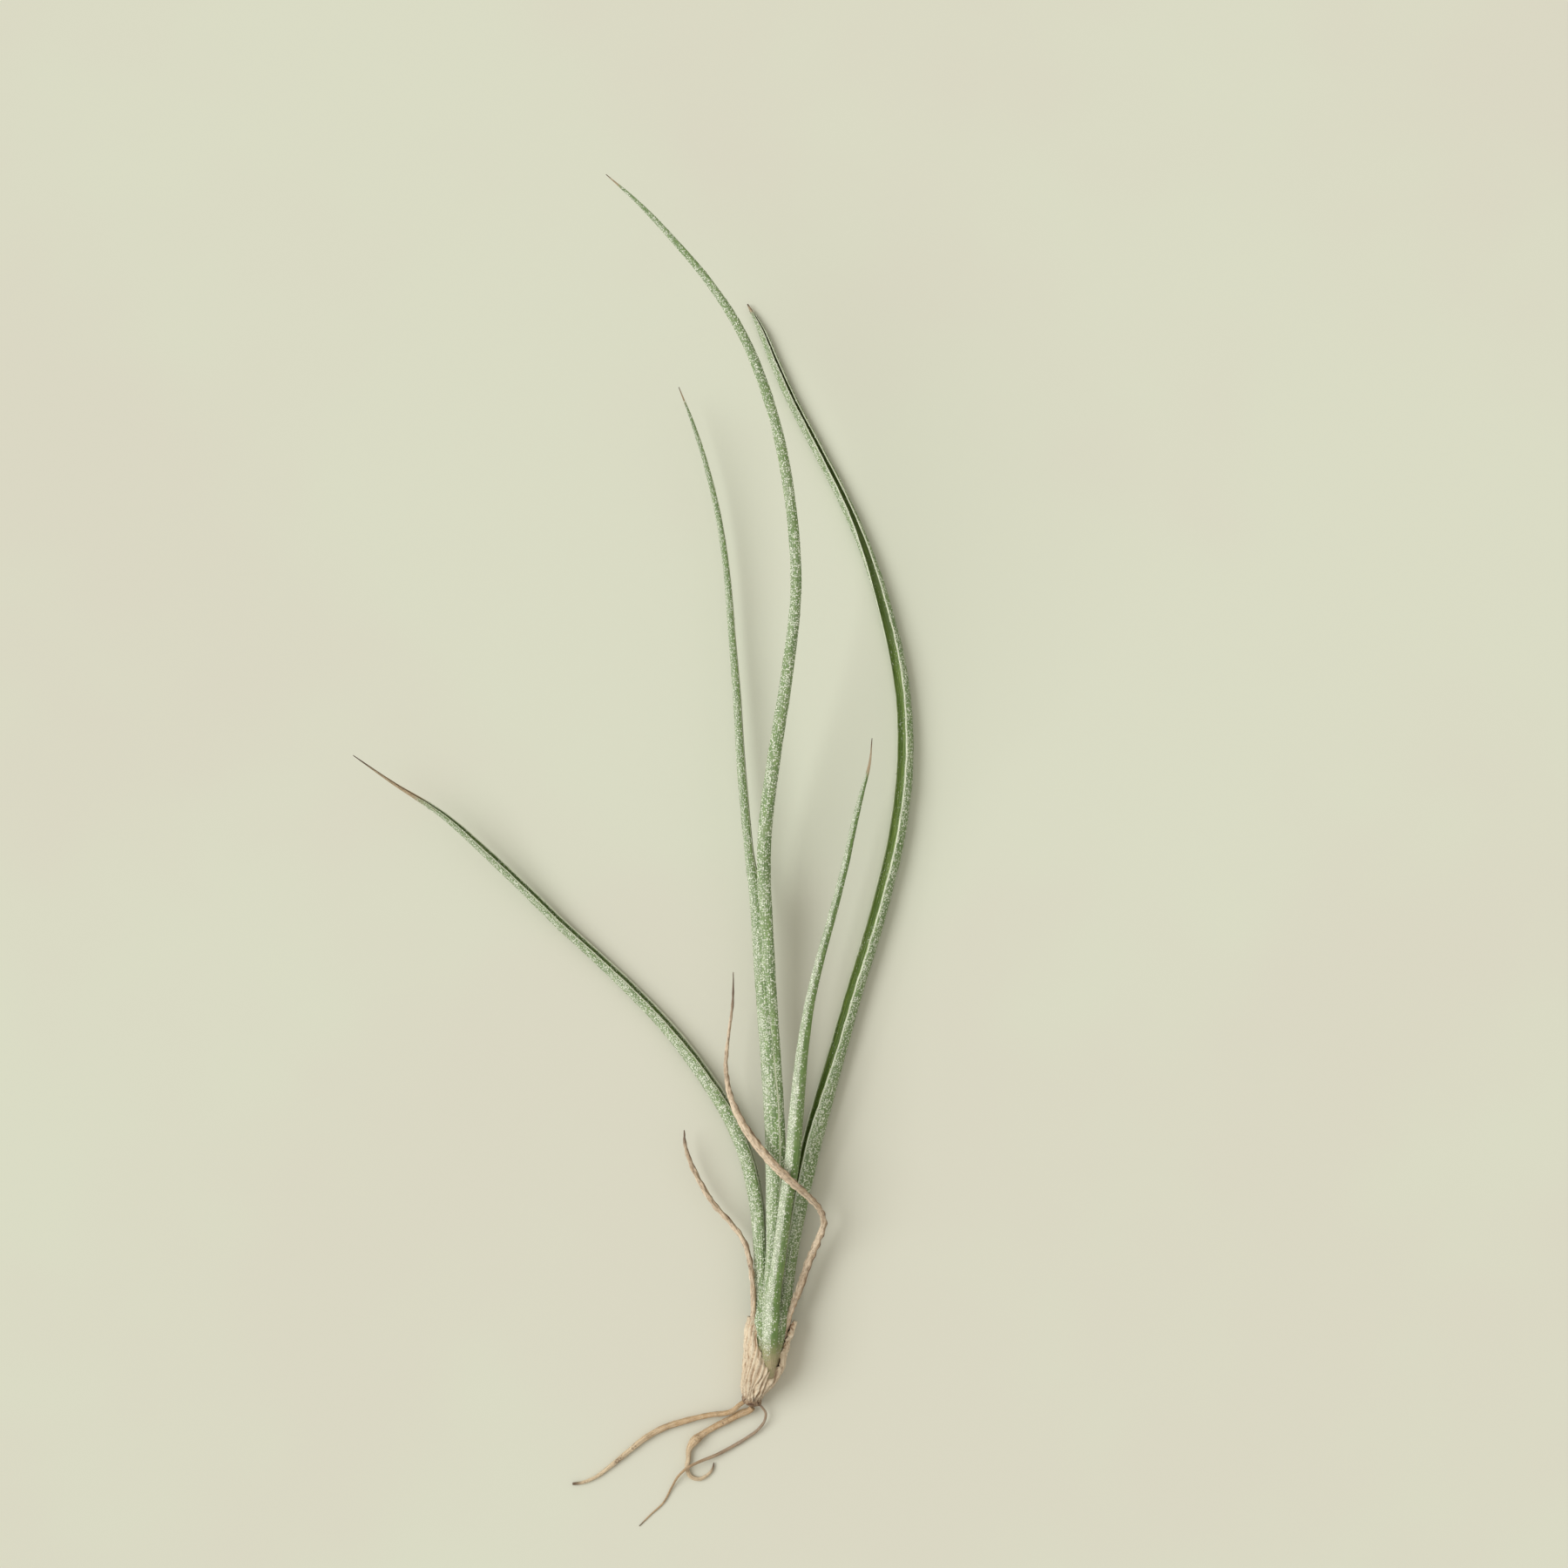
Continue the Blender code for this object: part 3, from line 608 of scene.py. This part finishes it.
def leaf_surface(leaf, look):
    """The channel with veins: ridges as a cosine of the place across, and slow unevenness along the leaf."""
    stations, length, angles, place, side, radii = channel(leaf.route, leaf.turns, leaf.wall, look.ring_step,
                                                           look.wall_points)
    width = radii * np.radians(np.ptp(angles, axis=1))[:, None]
    across = 0.5 * (place + 1.0) * width.mean()
    along = np.broadcast_to(length[:, None], angles.shape)
    slow = ripples(along, np.radians(angles) * radii, leaf.seed, 9.0)
    veins = np.cos(place * VEIN_WAVES * math.pi + 1.5 * ripples(along, 0.0 * along, leaf.seed + 1, 25.0))
    inside_margins = 1.0 - np.abs(place) ** 8
    taper = np.clip(radii / 0.8, 0.0, 1.0)
    radii = radii + taper * inside_margins * side * look.vein_depth * (0.6 * veins + 0.9 * slow)
    edge = 2.2 * ripples(along, 0.0 * along, leaf.seed + 2, 5.0) * place
    points = ring_points(stations[:, :3], radii, np.radians(angles + edge))
    outer_silver, outer_bare = band_values(angles, leaf.outer_bands)
    inner_silver, inner_bare = band_values(angles, leaf.inner_bands)
    silver = np.where(side > 0, outer_silver, inner_silver)
    bare = np.where(side > 0, outer_bare, inner_bare)
    share = along / length[-1]
    for first, last, from_angle, to_angle, patch_silver, patch_bare in leaf.patches:
        in_length = ramp(share, first - 0.04, first + 0.02) * (1.0 - ramp(share, last - 0.05, last + 0.03))
        inside = (in_length * ramp(angles, from_angle - 8, from_angle + 8)
                  * (1.0 - ramp(angles, to_angle - 8, to_angle + 8)))
        silver = silver + inside * (patch_silver - silver)
        bare = bare + inside * (patch_bare - bare)
    from_tip = length[-1] - along
    base = 1.0 - ramp(along, 2.0, 7.5)
    patch = ripples(along, across, leaf.seed + 3, 14.0)
    tip_edge = leaf.dry_tip * (1.0 + 0.12 * ripples(along, across, leaf.seed + 4, 3.0))
    wander = 2.0 * ripples(along, 0.0 * along, leaf.seed + 6, 12.0)
    rows = 0.5 + 0.5 * np.cos(place * VEIN_WAVES * math.pi + wander)
    marks = {
        "rows": rows * ramp(ripples(0.25 * along, across, leaf.seed + 7, 1.2), -0.6, 0.3),
        # The silver and bare marks carry the real cover and bareness and also the bands' painted light on
        # left-hand faces and painted shade on right-hand faces.
        "silver": np.clip(silver + 0.08 * patch, 0.0, 1.0) * (1.0 - 0.6 * base),
        "bare": np.clip(bare, 0.0, 1.0),
        "margin": ramp(np.abs(place) + 0.0 * along, 0.90, 0.94),
        "dry": 1.0 - ramp(from_tip, 0.75 * tip_edge, tip_edge),
        "end": 1.0 - ramp(from_tip, 0.05 * leaf.dry_tip, 0.35 * leaf.dry_tip),
        "base": base,
    }
    return Surface(points, along, across + 0.0 * along, marks)


def leaf_material(name, look):
    """Green leaf with veins under a silver cover that is dense, sparse or missing from band to band.
    Where the marks hold painted light and shade, the cover and its haze paint lit faces pale and the yellower
    green paints shaded faces.
    """
    material, tree, shader, flat = new_material(name)
    silver, bare, base = mark(tree, "silver"), mark(tree, "bare"), mark(tree, "base")
    veins = grouped(tree, "Long Fibres", Coordinates=flat, Width=0.34, Length=16.0)
    fine = grouped(tree, "Long Fibres", Coordinates=flat, Width=0.14, Length=5.0)
    patches = grouped(tree, "Blotches", Coordinates=flat, Size=3.0)["Patches"]
    # The yellower green is partly painted shade on right-hand outer faces.
    green = blended(tree, bare, opaque(look.green), opaque(look.yellow_green))
    vein_lines = maths(tree, "MULTIPLY", veins["Lines"], 0.6)
    lines = maths(tree, "MAXIMUM", vein_lines, maths(tree, "MULTIPLY", mark(tree, "rows"), 0.8))
    green = blended(tree, lines, green, opaque(look.deep_green))
    green = blended(tree, maths(tree, "MULTIPLY", patches, 0.22), green, PALE_PATCH)
    between_rows = maths(tree, "SUBTRACT", 1.0, maths(tree, "MULTIPLY", mark(tree, "rows"), 0.8))
    cover = maths(tree, "MULTIPLY", silver, between_rows)
    scales = grouped(tree, "Silver Scales", Coordinates=flat, Cover=cover, Size=look.scale_size)
    # The silver haze is partly painted light on the lit faces.
    scale_haze_and_light = maths(tree, "MULTIPLY", silver, maths(tree, "MULTIPLY", silver, 0.32))
    colour = blended(tree, scale_haze_and_light, green, opaque(look.silver))
    tone = stepped(tree, scales["Tone"], 0.0, 1.0, 0.65, 1.0)
    colour = blended(tree, maths(tree, "MULTIPLY", scales["Scales"], tone), colour, opaque(look.silver))
    colour = blended(tree, maths(tree, "MULTIPLY", mark(tree, "margin"), 0.9), colour, opaque(look.margin))
    mottled = grouped(tree, "Blotches", Coordinates=flat, Size=0.9, Low=0.35, High=0.6)["Patches"]
    olive = blended(tree, mottled, OLIVE, OLIVE_TAN)
    colour = blended(tree, maths(tree, "MULTIPLY", base, 0.9), colour, olive)
    tip_lines = maths(tree, "MULTIPLY", fine["Lines"], 0.6)
    withered = blended(tree, tip_lines, opaque(look.dry_tip), TIP_FIBRE)
    colour = blended(tree, mark(tree, "dry"), colour, withered)
    colour = blended(tree, mark(tree, "end"), colour, opaque(look.dark_tip))
    roughness = stepped(tree, silver, 0.0, 0.7, 0.42, 0.78)
    height = maths(tree, "ADD", scales["Height"], maths(tree, "MULTIPLY", veins["Height"], 1.2))
    finish_shader(tree, shader, colour, roughness, height, 0.07)
    return material


def raised_scales(name, surface, look, seed):
    """Flat kites scattered over the surface, more where the silver mark is high, with lifted tips.

    A cell of the surface is drawn with a chance of its area times its cover, and the kite lies on it at a random
    place. A kite is its four corners and a raised middle, closed underneath.
    """
    points = surface.points
    here, beside = points[:-1], np.roll(points, -1, axis=1)[:-1]
    ahead = points[1:]
    along, across = ahead - here, beside - here
    normal = np.cross(across, along)
    area = np.linalg.norm(normal, axis=-1)
    living = (1.0 - surface.marks["dry"][:-1]) * (1.0 - 0.8 * surface.marks["base"][:-1])
    # The silver mark holds painted light and shade too, so the raised scales also crowd on lit faces and thin out
    # on shaded ones.
    cover = np.clip(surface.marks["silver"][:-1] * 1.25 - 0.15, 0.0, 1.0)
    cover = cover * (1.0 - 0.8 * surface.marks["rows"][:-1])
    weight = (area * cover * living).ravel()
    rng = np.random.default_rng(seed)
    count = int(weight.sum() / look.flake_spacing ** 2)
    cell = np.searchsorted(np.cumsum(weight) / weight.sum(), rng.uniform(0.0, 0.9999, count))
    in_row, in_column = rng.uniform(0.0, 1.0, (2, count, 1))
    here, along, across, normal = (a.reshape(-1, 3)[cell] for a in (here, along, across, normal))
    centre = here + in_row * along + in_column * across
    normal = normal / np.linalg.norm(normal, axis=1)[:, None]
    forward = along / np.linalg.norm(along, axis=1)[:, None]
    sideways = np.cross(forward, normal)
    turn = rng.normal(0.0, 0.5, (count, 1))
    forward, sideways = (forward * np.cos(turn) + sideways * np.sin(turn),
                         sideways * np.cos(turn) - forward * np.sin(turn))
    length = look.flake_length * rng.uniform(0.6, 1.2, (count, 1))
    width = 0.36 * length * rng.uniform(0.8, 1.3, (count, 1))
    lift = look.flake_lift * rng.uniform(0.3, 1.3, (count, 1))
    corners = np.stack([
        centre - 0.5 * length * forward - 0.01 * normal,
        centre - width * sideways + 0.25 * lift * normal,
        centre + 0.5 * length * forward + lift * normal,
        centre + width * sideways + 0.25 * lift * normal,
        centre + 0.05 * length * forward + 0.85 * lift * normal,
    ], axis=1).reshape(-1, 3)
    first = 5 * np.arange(count)[:, None]
    sides = (first[:, :, None] + np.array([[[0, 3, 4], [3, 2, 4], [2, 1, 4], [1, 0, 4]]])).reshape(-1, 3)
    under = first + np.array([[0, 1, 2, 3]])
    return mesh_object(name, corners, [sides, under])


def scale_material(look):
    """Pale silver scales with a slight change of tone from one to the next."""
    material = bpy.data.materials.new("raised_silver_scales")
    material.use_nodes = True
    tree = material.node_tree
    shader = tree.nodes["Principled BSDF"]
    place = add_node(tree, "ShaderNodeTexCoord").outputs["Object"]
    shades = grouped(tree, "Blotches", Coordinates=place, Size=0.0007, Low=0.3, High=0.7)["Patches"]
    wide = grouped(tree, "Blotches", Coordinates=place, Size=0.006, Low=0.35, High=0.65)["Patches"]
    colour = blended(tree, shades, opaque(look.silver), SCALE_SHADE)
    colour = blended(tree, maths(tree, "MULTIPLY", wide, 0.3), colour, SCALE_LIGHT)
    finish_shader(tree, shader, colour, stepped(tree, shades, 0.0, 1.0, 0.5, 0.8), shades, 0.02)
    shader.inputs["Sheen Weight"].default_value = 0.2
    return material


def build_leaves():
    look, _, _ = settings()
    scales = scale_material(look)
    for leaf in LEAVES:
        surface = leaf_surface(leaf, look)
        blade = tube_object(leaf.name + "_blade", surface)
        blade.data.materials.append(leaf_material(leaf.name + "_skin", look))
        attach(blade, "root")
        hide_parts(leaf.name)
        cover = raised_scales(leaf.name + "_scales", surface, look, leaf.seed + 5)
        cover.data.materials.append(scales)
        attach(cover, "root")


# Withered leaves, sheaths, roots and stem base

def dry_leaf_surface(leaf, dry):
    """The channel shrunk into wrinkles: long ripples across the place and crumples along the leaf."""
    stations, length, angles, place, side, radii = channel(leaf.route, leaf.turns, leaf.wall, DRY_STEP, DRY_POINTS)
    along = np.broadcast_to(length[:, None], angles.shape)
    girth = np.radians(angles) * radii
    taper = np.clip(radii / 0.4, 0.15, 1.0)
    crumple = ripples(0.35 * along, girth, leaf.seed, 0.9) + 0.6 * ripples(along, 0.3 * girth, leaf.seed + 1, 2.6)
    radii = radii + dry.wrinkle * taper * side * crumple
    wave = 7.0 * ripples(along, 0.0 * along, leaf.seed + 2, 4.5) * place
    points = ring_points(stations[:, :3], radii, np.radians(angles + wave))
    across = 0.5 * (place + 1.0) * DRY_FLAT_WIDTH + 0.0 * along
    from_tip = length[-1] - along
    # A dark line runs along the right-hand side, 0.55 of the way across, and the left-hand side is paler.
    line = bump_at(place + 0.18 * ripples(along, 0.0 * along, leaf.seed + 3, 8.0), 0.55, 0.12)
    flecks = ripples(along, 2.0 * girth, leaf.seed + 4, 1.6)
    marks = {
        "stain": np.clip(0.75 * line + 0.5 * ramp(flecks, 0.5, 1.0), 0.0, 1.0),
        "pale": ramp(0.4 * flecks - place, -0.5, 0.3) + 0.0 * along,
        "end": 1.0 - ramp(from_tip, 0.3 * leaf.dry_tip, leaf.dry_tip),
    }
    return Surface(points, along, across, marks)


def withered_material(name, main, pale, stain, fibre_width, fibre_length, depth):
    """Dry plant skin: a tan that goes paler in places, with fibres, dark stains and darker ends. On the sheaths
    the paler places include painted light on the rib crests and the dark marks painted shade in the rib creases.
    """
    material, tree, shader, flat = new_material(name)
    fibres = grouped(tree, "Long Fibres", Coordinates=flat, Width=fibre_width, Length=fibre_length)
    fine = grouped(tree, "Long Fibres", Coordinates=flat, Width=0.4 * fibre_width, Length=0.4 * fibre_length)
    patches = grouped(tree, "Blotches", Coordinates=flat, Size=1.6)["Patches"]
    pores = grouped(tree, "Blotches", Coordinates=flat, Size=0.35, Low=0.52, High=0.7)["Patches"]
    paleness = maths(tree, "MAXIMUM", mark(tree, "pale"), maths(tree, "MULTIPLY", patches, 0.45))
    colour = blended(tree, paleness, opaque(main), opaque(pale))
    colour = blended(tree, maths(tree, "MULTIPLY", fibres["Lines"], 0.5), colour,
                     blended(tree, 0.6, opaque(main), opaque(stain)))
    colour = blended(tree, maths(tree, "MULTIPLY", fine["Lines"], 0.25), colour, DRY_FIBRE)
    colour = blended(tree, maths(tree, "MULTIPLY", pores, 0.4), colour, opaque(stain))
    colour = blended(tree, mark(tree, "stain"), colour, opaque(stain))
    colour = blended(tree, maths(tree, "MULTIPLY", mark(tree, "end"), 0.85), colour, opaque(stain))
    height = maths(tree, "SUBTRACT", fibres["Height"], maths(tree, "MULTIPLY", pores, 0.3))
    finish_shader(tree, shader, colour, stepped(tree, fibres["Lines"], 0.0, 1.0, 0.62, 0.85), height, depth)
    return material


def build_dry_leaves():
    _, dry, _ = settings()
    skin = withered_material("withered_skin", dry.tan, dry.pink, dry.stain, 0.35, 7.0, 0.12)
    for leaf in DRY_LEAVES:
        blade = tube_object(leaf.name + "_blade", dry_leaf_surface(leaf, dry))
        blade.data.materials.append(skin)
        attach(blade, "root")
        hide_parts(leaf.name)


def sheath_surface(route, seed):
    """A thin papery wrap: its radius is a sine across it and falls near the margins, which ripples tear."""
    stations, length = even_route(route, SHEATH_STEP)
    place, side = wall_walk(SHEATH_POINTS)
    along = np.broadcast_to(length[:, None], (len(length), len(place)))
    first, last = stations[:, 4:5], stations[:, 5:6]
    torn = 5.0 * ripples(along, 0.0 * along, seed, 1.4) * np.abs(place) ** 3
    angles = 0.5 * (first + last) + 0.5 * (last - first) * place + torn
    girth = np.radians(angles) * 3.0
    half = SHEATH_HALF_WALL * np.sqrt(np.clip(1.0 - np.abs(place) ** 6, 0.0, 1.0))
    rib_phase = girth / RIB_PITCH * 2.0 * math.pi + 2.4 * ripples(0.5 * along, girth, seed + 1, 3.0)
    ribs = np.sin(rib_phase) + 0.5 * ripples(0.25 * along, girth, seed + 2, 0.5)
    lumps = ripples(along, girth, seed + 3, 4.0)
    end_fade = ramp(length, 0.0, 0.5)[:, None] * ramp(length[-1] - length, 0.0, 0.8)[:, None]
    curl = 0.45 * ramp(np.abs(place), 0.75, 1.0)
    radii = stations[:, 3:4] - SHEATH_HALF_WALL - curl + side * half + end_fade * (0.15 * ribs + 0.12 * lumps)
    points = ring_points(stations[:, :3], radii, np.radians(angles))
    # Painted shade and light: the colour darkens in patches deep in the rib creases and pales on the rib crests.
    crease_shade = ramp(-np.sin(rib_phase), 0.3, 0.95) * ramp(ripples(0.4 * along, girth, seed + 4, 2.2), -0.6, 0.3)
    marks = {
        "stain": np.clip(0.8 * crease_shade + 0.3 * ramp(np.abs(place), 0.985, 1.0), 0.0, 1.0),
        "pale": ramp(np.sin(rib_phase), 0.0, 0.9),
        "end": 0.7 * (1.0 - ramp(along, 0.0, 0.8)),
    }
    return Surface(points, along, girth, marks)


def build_sheaths():
    _, dry, _ = settings()
    skin = withered_material("papery_skin", dry.paper, SHEATH_PALE_AND_CREST_LIGHT, dry.brown_and_crease_shade, 0.22, 3.0, 0.08)
    for name, seed, route in SHEATHS:
        wrap = tube_object(name + "_paper", sheath_surface(route, seed))
        wrap.data.materials.append(skin)
        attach(wrap, "root")
        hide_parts(name)


def root_surface(route, seed):
    """A round rod whose radius swells and shrinks slowly, with fine wrinkles round it and along it."""
    stations, length = even_route(route, ROOT_STEP)
    angles = np.linspace(0.0, 2.0 * math.pi, ROOT_SIDES, endpoint=False)
    along = np.broadcast_to(length[:, None], (len(length), ROOT_SIDES))
    wheel = np.cos(angles) * 1.5 + 0.0 * along
    grooves = np.sin(5.0 * angles + 1.5 * ripples(along, 0.0 * along, seed, 6.0))
    swelling = ripples(along, 0.4 * wheel, seed + 1, 3.2)
    wrinkles = ripples(along, wheel, seed + 2, 0.6)
    radii = stations[:, 3:4] * (1.0 + 0.06 * swelling + 0.035 * wrinkles + 0.035 * grooves)
    points = ring_points(stations[:, :3], radii, angles + 0.0 * along)
    from_tip = length[-1] - along
    dark_places = ramp(swelling * wrinkles + 0.6 * ripples(along, wheel, seed + 3, 5.0), 0.35, 0.9)
    marks = {
        "stain": np.clip(0.8 * dark_places, 0.0, 1.0),
        "pale": ramp(length / length[-1], 0.25, 0.7)[:, None] + 0.0 * along,
        "end": 1.0 - ramp(from_tip, 0.2, 2.0),
    }
    return Surface(points, along, np.sin(0.5 * angles) * 1.5 + 0.0 * along, marks)


def build_roots():
    _, dry, _ = settings()
    thick = (dry.root, dry.root_pale)
    finishes = {"root_long": thick, "root_knotted": thick, "root_thin": (THIN_ROOT_BROWN, dry.root)}
    for name, seed, route in ROOTS:
        main, pale = finishes[name]
        rod = tube_object(name + "_rod", root_surface(route, seed))
        rod.data.materials.append(withered_material(name + "_skin", main, pale, dry.stain, 0.25, 3.0, 0.07))
        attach(rod, "root")
        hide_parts(name)


def build_stem_base():
    """A knob turned about the line from the root end to the leaf end, dented by ripples and torn into fibres."""
    _, dry, _ = settings()
    share, radii = np.array(KNOB_PROFILE).T
    even = np.linspace(0.0, 1.0, KNOB_RINGS)
    start, end = np.array(KNOB_START), np.array(KNOB_END)
    centres = start + even[:, None] * (end - start)
    angles = np.linspace(0.0, 2.0 * math.pi, KNOB_SIDES, endpoint=False)
    along = np.broadcast_to(6.0 * even[:, None], (len(even), len(angles)))
    wheel = 1.4 * angles + 0.0 * along
    ridges = np.sin(19.0 * angles + 1.5 * np.sin(2.0 * angles)) * ramp(even, 0.03, 0.2)[:, None]
    dents = ripples(along, np.cos(angles) * 2.0 + 0.0 * along, 97, 1.1)
    rings = np.interp(even, share, radii)[:, None] * (1.0 + 0.03 * ridges + 0.05 * dents)
    points = ring_points(centres, rings, angles + 0.0 * along)
    marks = {"stain": ramp(dents, 0.1, 0.9), "pale": ramp(ridges, 0.2, 1.0) * 0.5, "end": 0.0 * along}
    knob = tube_object("stem_base_knob", Surface(points, along, wheel, marks))
    knob.data.materials.append(withered_material("stem_base_skin", dry.base, dry.tan, dry.stain, 0.2, 2.0, 0.08))
    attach(knob, "root")
    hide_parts("stem_base")


# Stage

def build_floor(stage):
    """A flat square with faint pinker clouds at random over it, painted shade that stands in for the pinker soft
    shade round the plant.
    """
    half = 0.5 * stage.floor_side / MM
    corners = np.array([(-half, -half, 0.0), (half, -half, 0.0), (half, half, 0.0), (-half, half, 0.0)])
    floor = mesh_object("floor", corners + OUTLINE_MIDDLE, [np.array([[0, 1, 2, 3]])])
    material = bpy.data.materials.new("pale_surface")
    material.use_nodes = True
    tree = material.node_tree
    place = add_node(tree, "ShaderNodeTexCoord").outputs["Object"]
    # Painted shade: faint pinker clouds at random over the floor.
    shade_clouds = grouped(tree, "Blotches", Coordinates=place, Size=0.16, Low=0.42, High=0.6)["Patches"]
    shade_tint = tuple(np.array(stage.floor) * FLOOR_SHADE_TINT)
    tree.links.new(blended(tree, shade_clouds, opaque(stage.floor), opaque(shade_tint)),
                   tree.nodes["Principled BSDF"].inputs["Base Color"])
    tree.nodes["Principled BSDF"].inputs["Roughness"].default_value = 0.9
    tree.nodes["Principled BSDF"].inputs["Specular IOR Level"].default_value = 0.2
    floor.data.materials.append(material)


def soft_sun(stage):
    """A wide sun from the left, as even over the whole plant as a large soft box far away."""
    light = bpy.data.lights.new("soft_sun", "SUN")
    light.energy, light.angle, light.color = stage.sun, math.radians(stage.sun_width), SUN_COLOUR
    lamp = bpy.data.objects.new("soft_sun", light)
    lamp.rotation_euler = Vector(SUN_DIRECTION).to_track_quat("-Z", "Y").to_euler()
    bpy.context.scene.collection.objects.link(lamp)


def build_camera(stage):
    """A camera that looks straight down a little to the right of the plant."""
    camera = bpy.data.cameras.new("camera")
    camera.sensor_width = 36.0
    camera.lens = camera.sensor_width * stage.camera_height / stage.view_width
    view = bpy.data.objects.new("camera", camera)
    view.location = (*CAMERA_PLACE, stage.camera_height)
    bpy.context.scene.collection.objects.link(view)
    bpy.context.scene.camera = view


def build_stage():
    _, _, stage = settings()
    build_floor(stage)
    soft_sun(stage)
    world = bpy.data.worlds.new("even_light")
    world.use_nodes = True
    background = world.node_tree.nodes["Background"].inputs
    background["Color"].default_value, background["Strength"].default_value = SKY_COLOUR, stage.sky
    bpy.context.scene.world = world
    bpy.context.scene.view_settings.view_transform = "Standard"
    build_camera(stage)


# Operators, panel and registration

class AIRPLANT_OT_leaves(bpy.types.Operator):
    """Build the living leaves and the silver scales on them"""

    bl_idname = "airplant.leaves"
    bl_label = "Leaves"

    def execute(self, context):
        build_leaves()
        return {"FINISHED"}


class AIRPLANT_OT_dry_leaves(bpy.types.Operator):
    """Build the withered leaves"""

    bl_idname = "airplant.dry_leaves"
    bl_label = "Withered Leaves"

    def execute(self, context):
        build_dry_leaves()
        return {"FINISHED"}


class AIRPLANT_OT_sheaths(bpy.types.Operator):
    """Build the papery sheaths round the stem base"""

    bl_idname = "airplant.sheaths"
    bl_label = "Sheaths"

    def execute(self, context):
        build_sheaths()
        return {"FINISHED"}


class AIRPLANT_OT_roots(bpy.types.Operator):
    """Build the roots"""

    bl_idname = "airplant.roots"
    bl_label = "Roots"

    def execute(self, context):
        build_roots()
        return {"FINISHED"}


class AIRPLANT_OT_stem_base(bpy.types.Operator):
    """Build the knob that the leaves and roots grow from"""

    bl_idname = "airplant.stem_base"
    bl_label = "Stem Base"

    def execute(self, context):
        build_stem_base()
        return {"FINISHED"}


class AIRPLANT_OT_stage(bpy.types.Operator):
    """Build the surface, the lights and the camera"""

    bl_idname = "airplant.stage"
    bl_label = "Stage"

    def execute(self, context):
        build_stage()
        return {"FINISHED"}


class AIRPLANT_PT_panel(bpy.types.Panel):
    """The steps of the build, in the sidebar"""

    bl_idname = "AIRPLANT_PT_panel"
    bl_label = "Air Plant"
    bl_space_type = "VIEW_3D"
    bl_region_type = "UI"
    bl_category = "Air Plant"

    def draw(self, context):
        for step in OPERATORS:
            self.layout.operator(step.bl_idname)


OPERATORS = (AIRPLANT_OT_leaves, AIRPLANT_OT_dry_leaves, AIRPLANT_OT_sheaths, AIRPLANT_OT_roots,
             AIRPLANT_OT_stem_base, AIRPLANT_OT_stage)
GROUPS = {"air_plant_leaves": AIRPLANT_PG_leaves, "air_plant_dry": AIRPLANT_PG_dry,
          "air_plant_stage": AIRPLANT_PG_stage}


def register():
    for cls in (*GROUPS.values(), *OPERATORS, AIRPLANT_PT_panel):
        bpy.utils.register_class(cls)
    for name, group in GROUPS.items():
        setattr(bpy.types.Scene, name, PointerProperty(type=group))


def unregister():
    for name in GROUPS:
        delattr(bpy.types.Scene, name)
    for cls in (AIRPLANT_PT_panel, *reversed(OPERATORS), *reversed(GROUPS.values())):
        bpy.utils.unregister_class(cls)


def main():
    register()
    bpy.ops.airplant.leaves()
    bpy.ops.airplant.dry_leaves()
    bpy.ops.airplant.sheaths()
    bpy.ops.airplant.roots()
    bpy.ops.airplant.stem_base()
    bpy.ops.airplant.stage()
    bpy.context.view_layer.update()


if __name__ == "__main__":
    main()
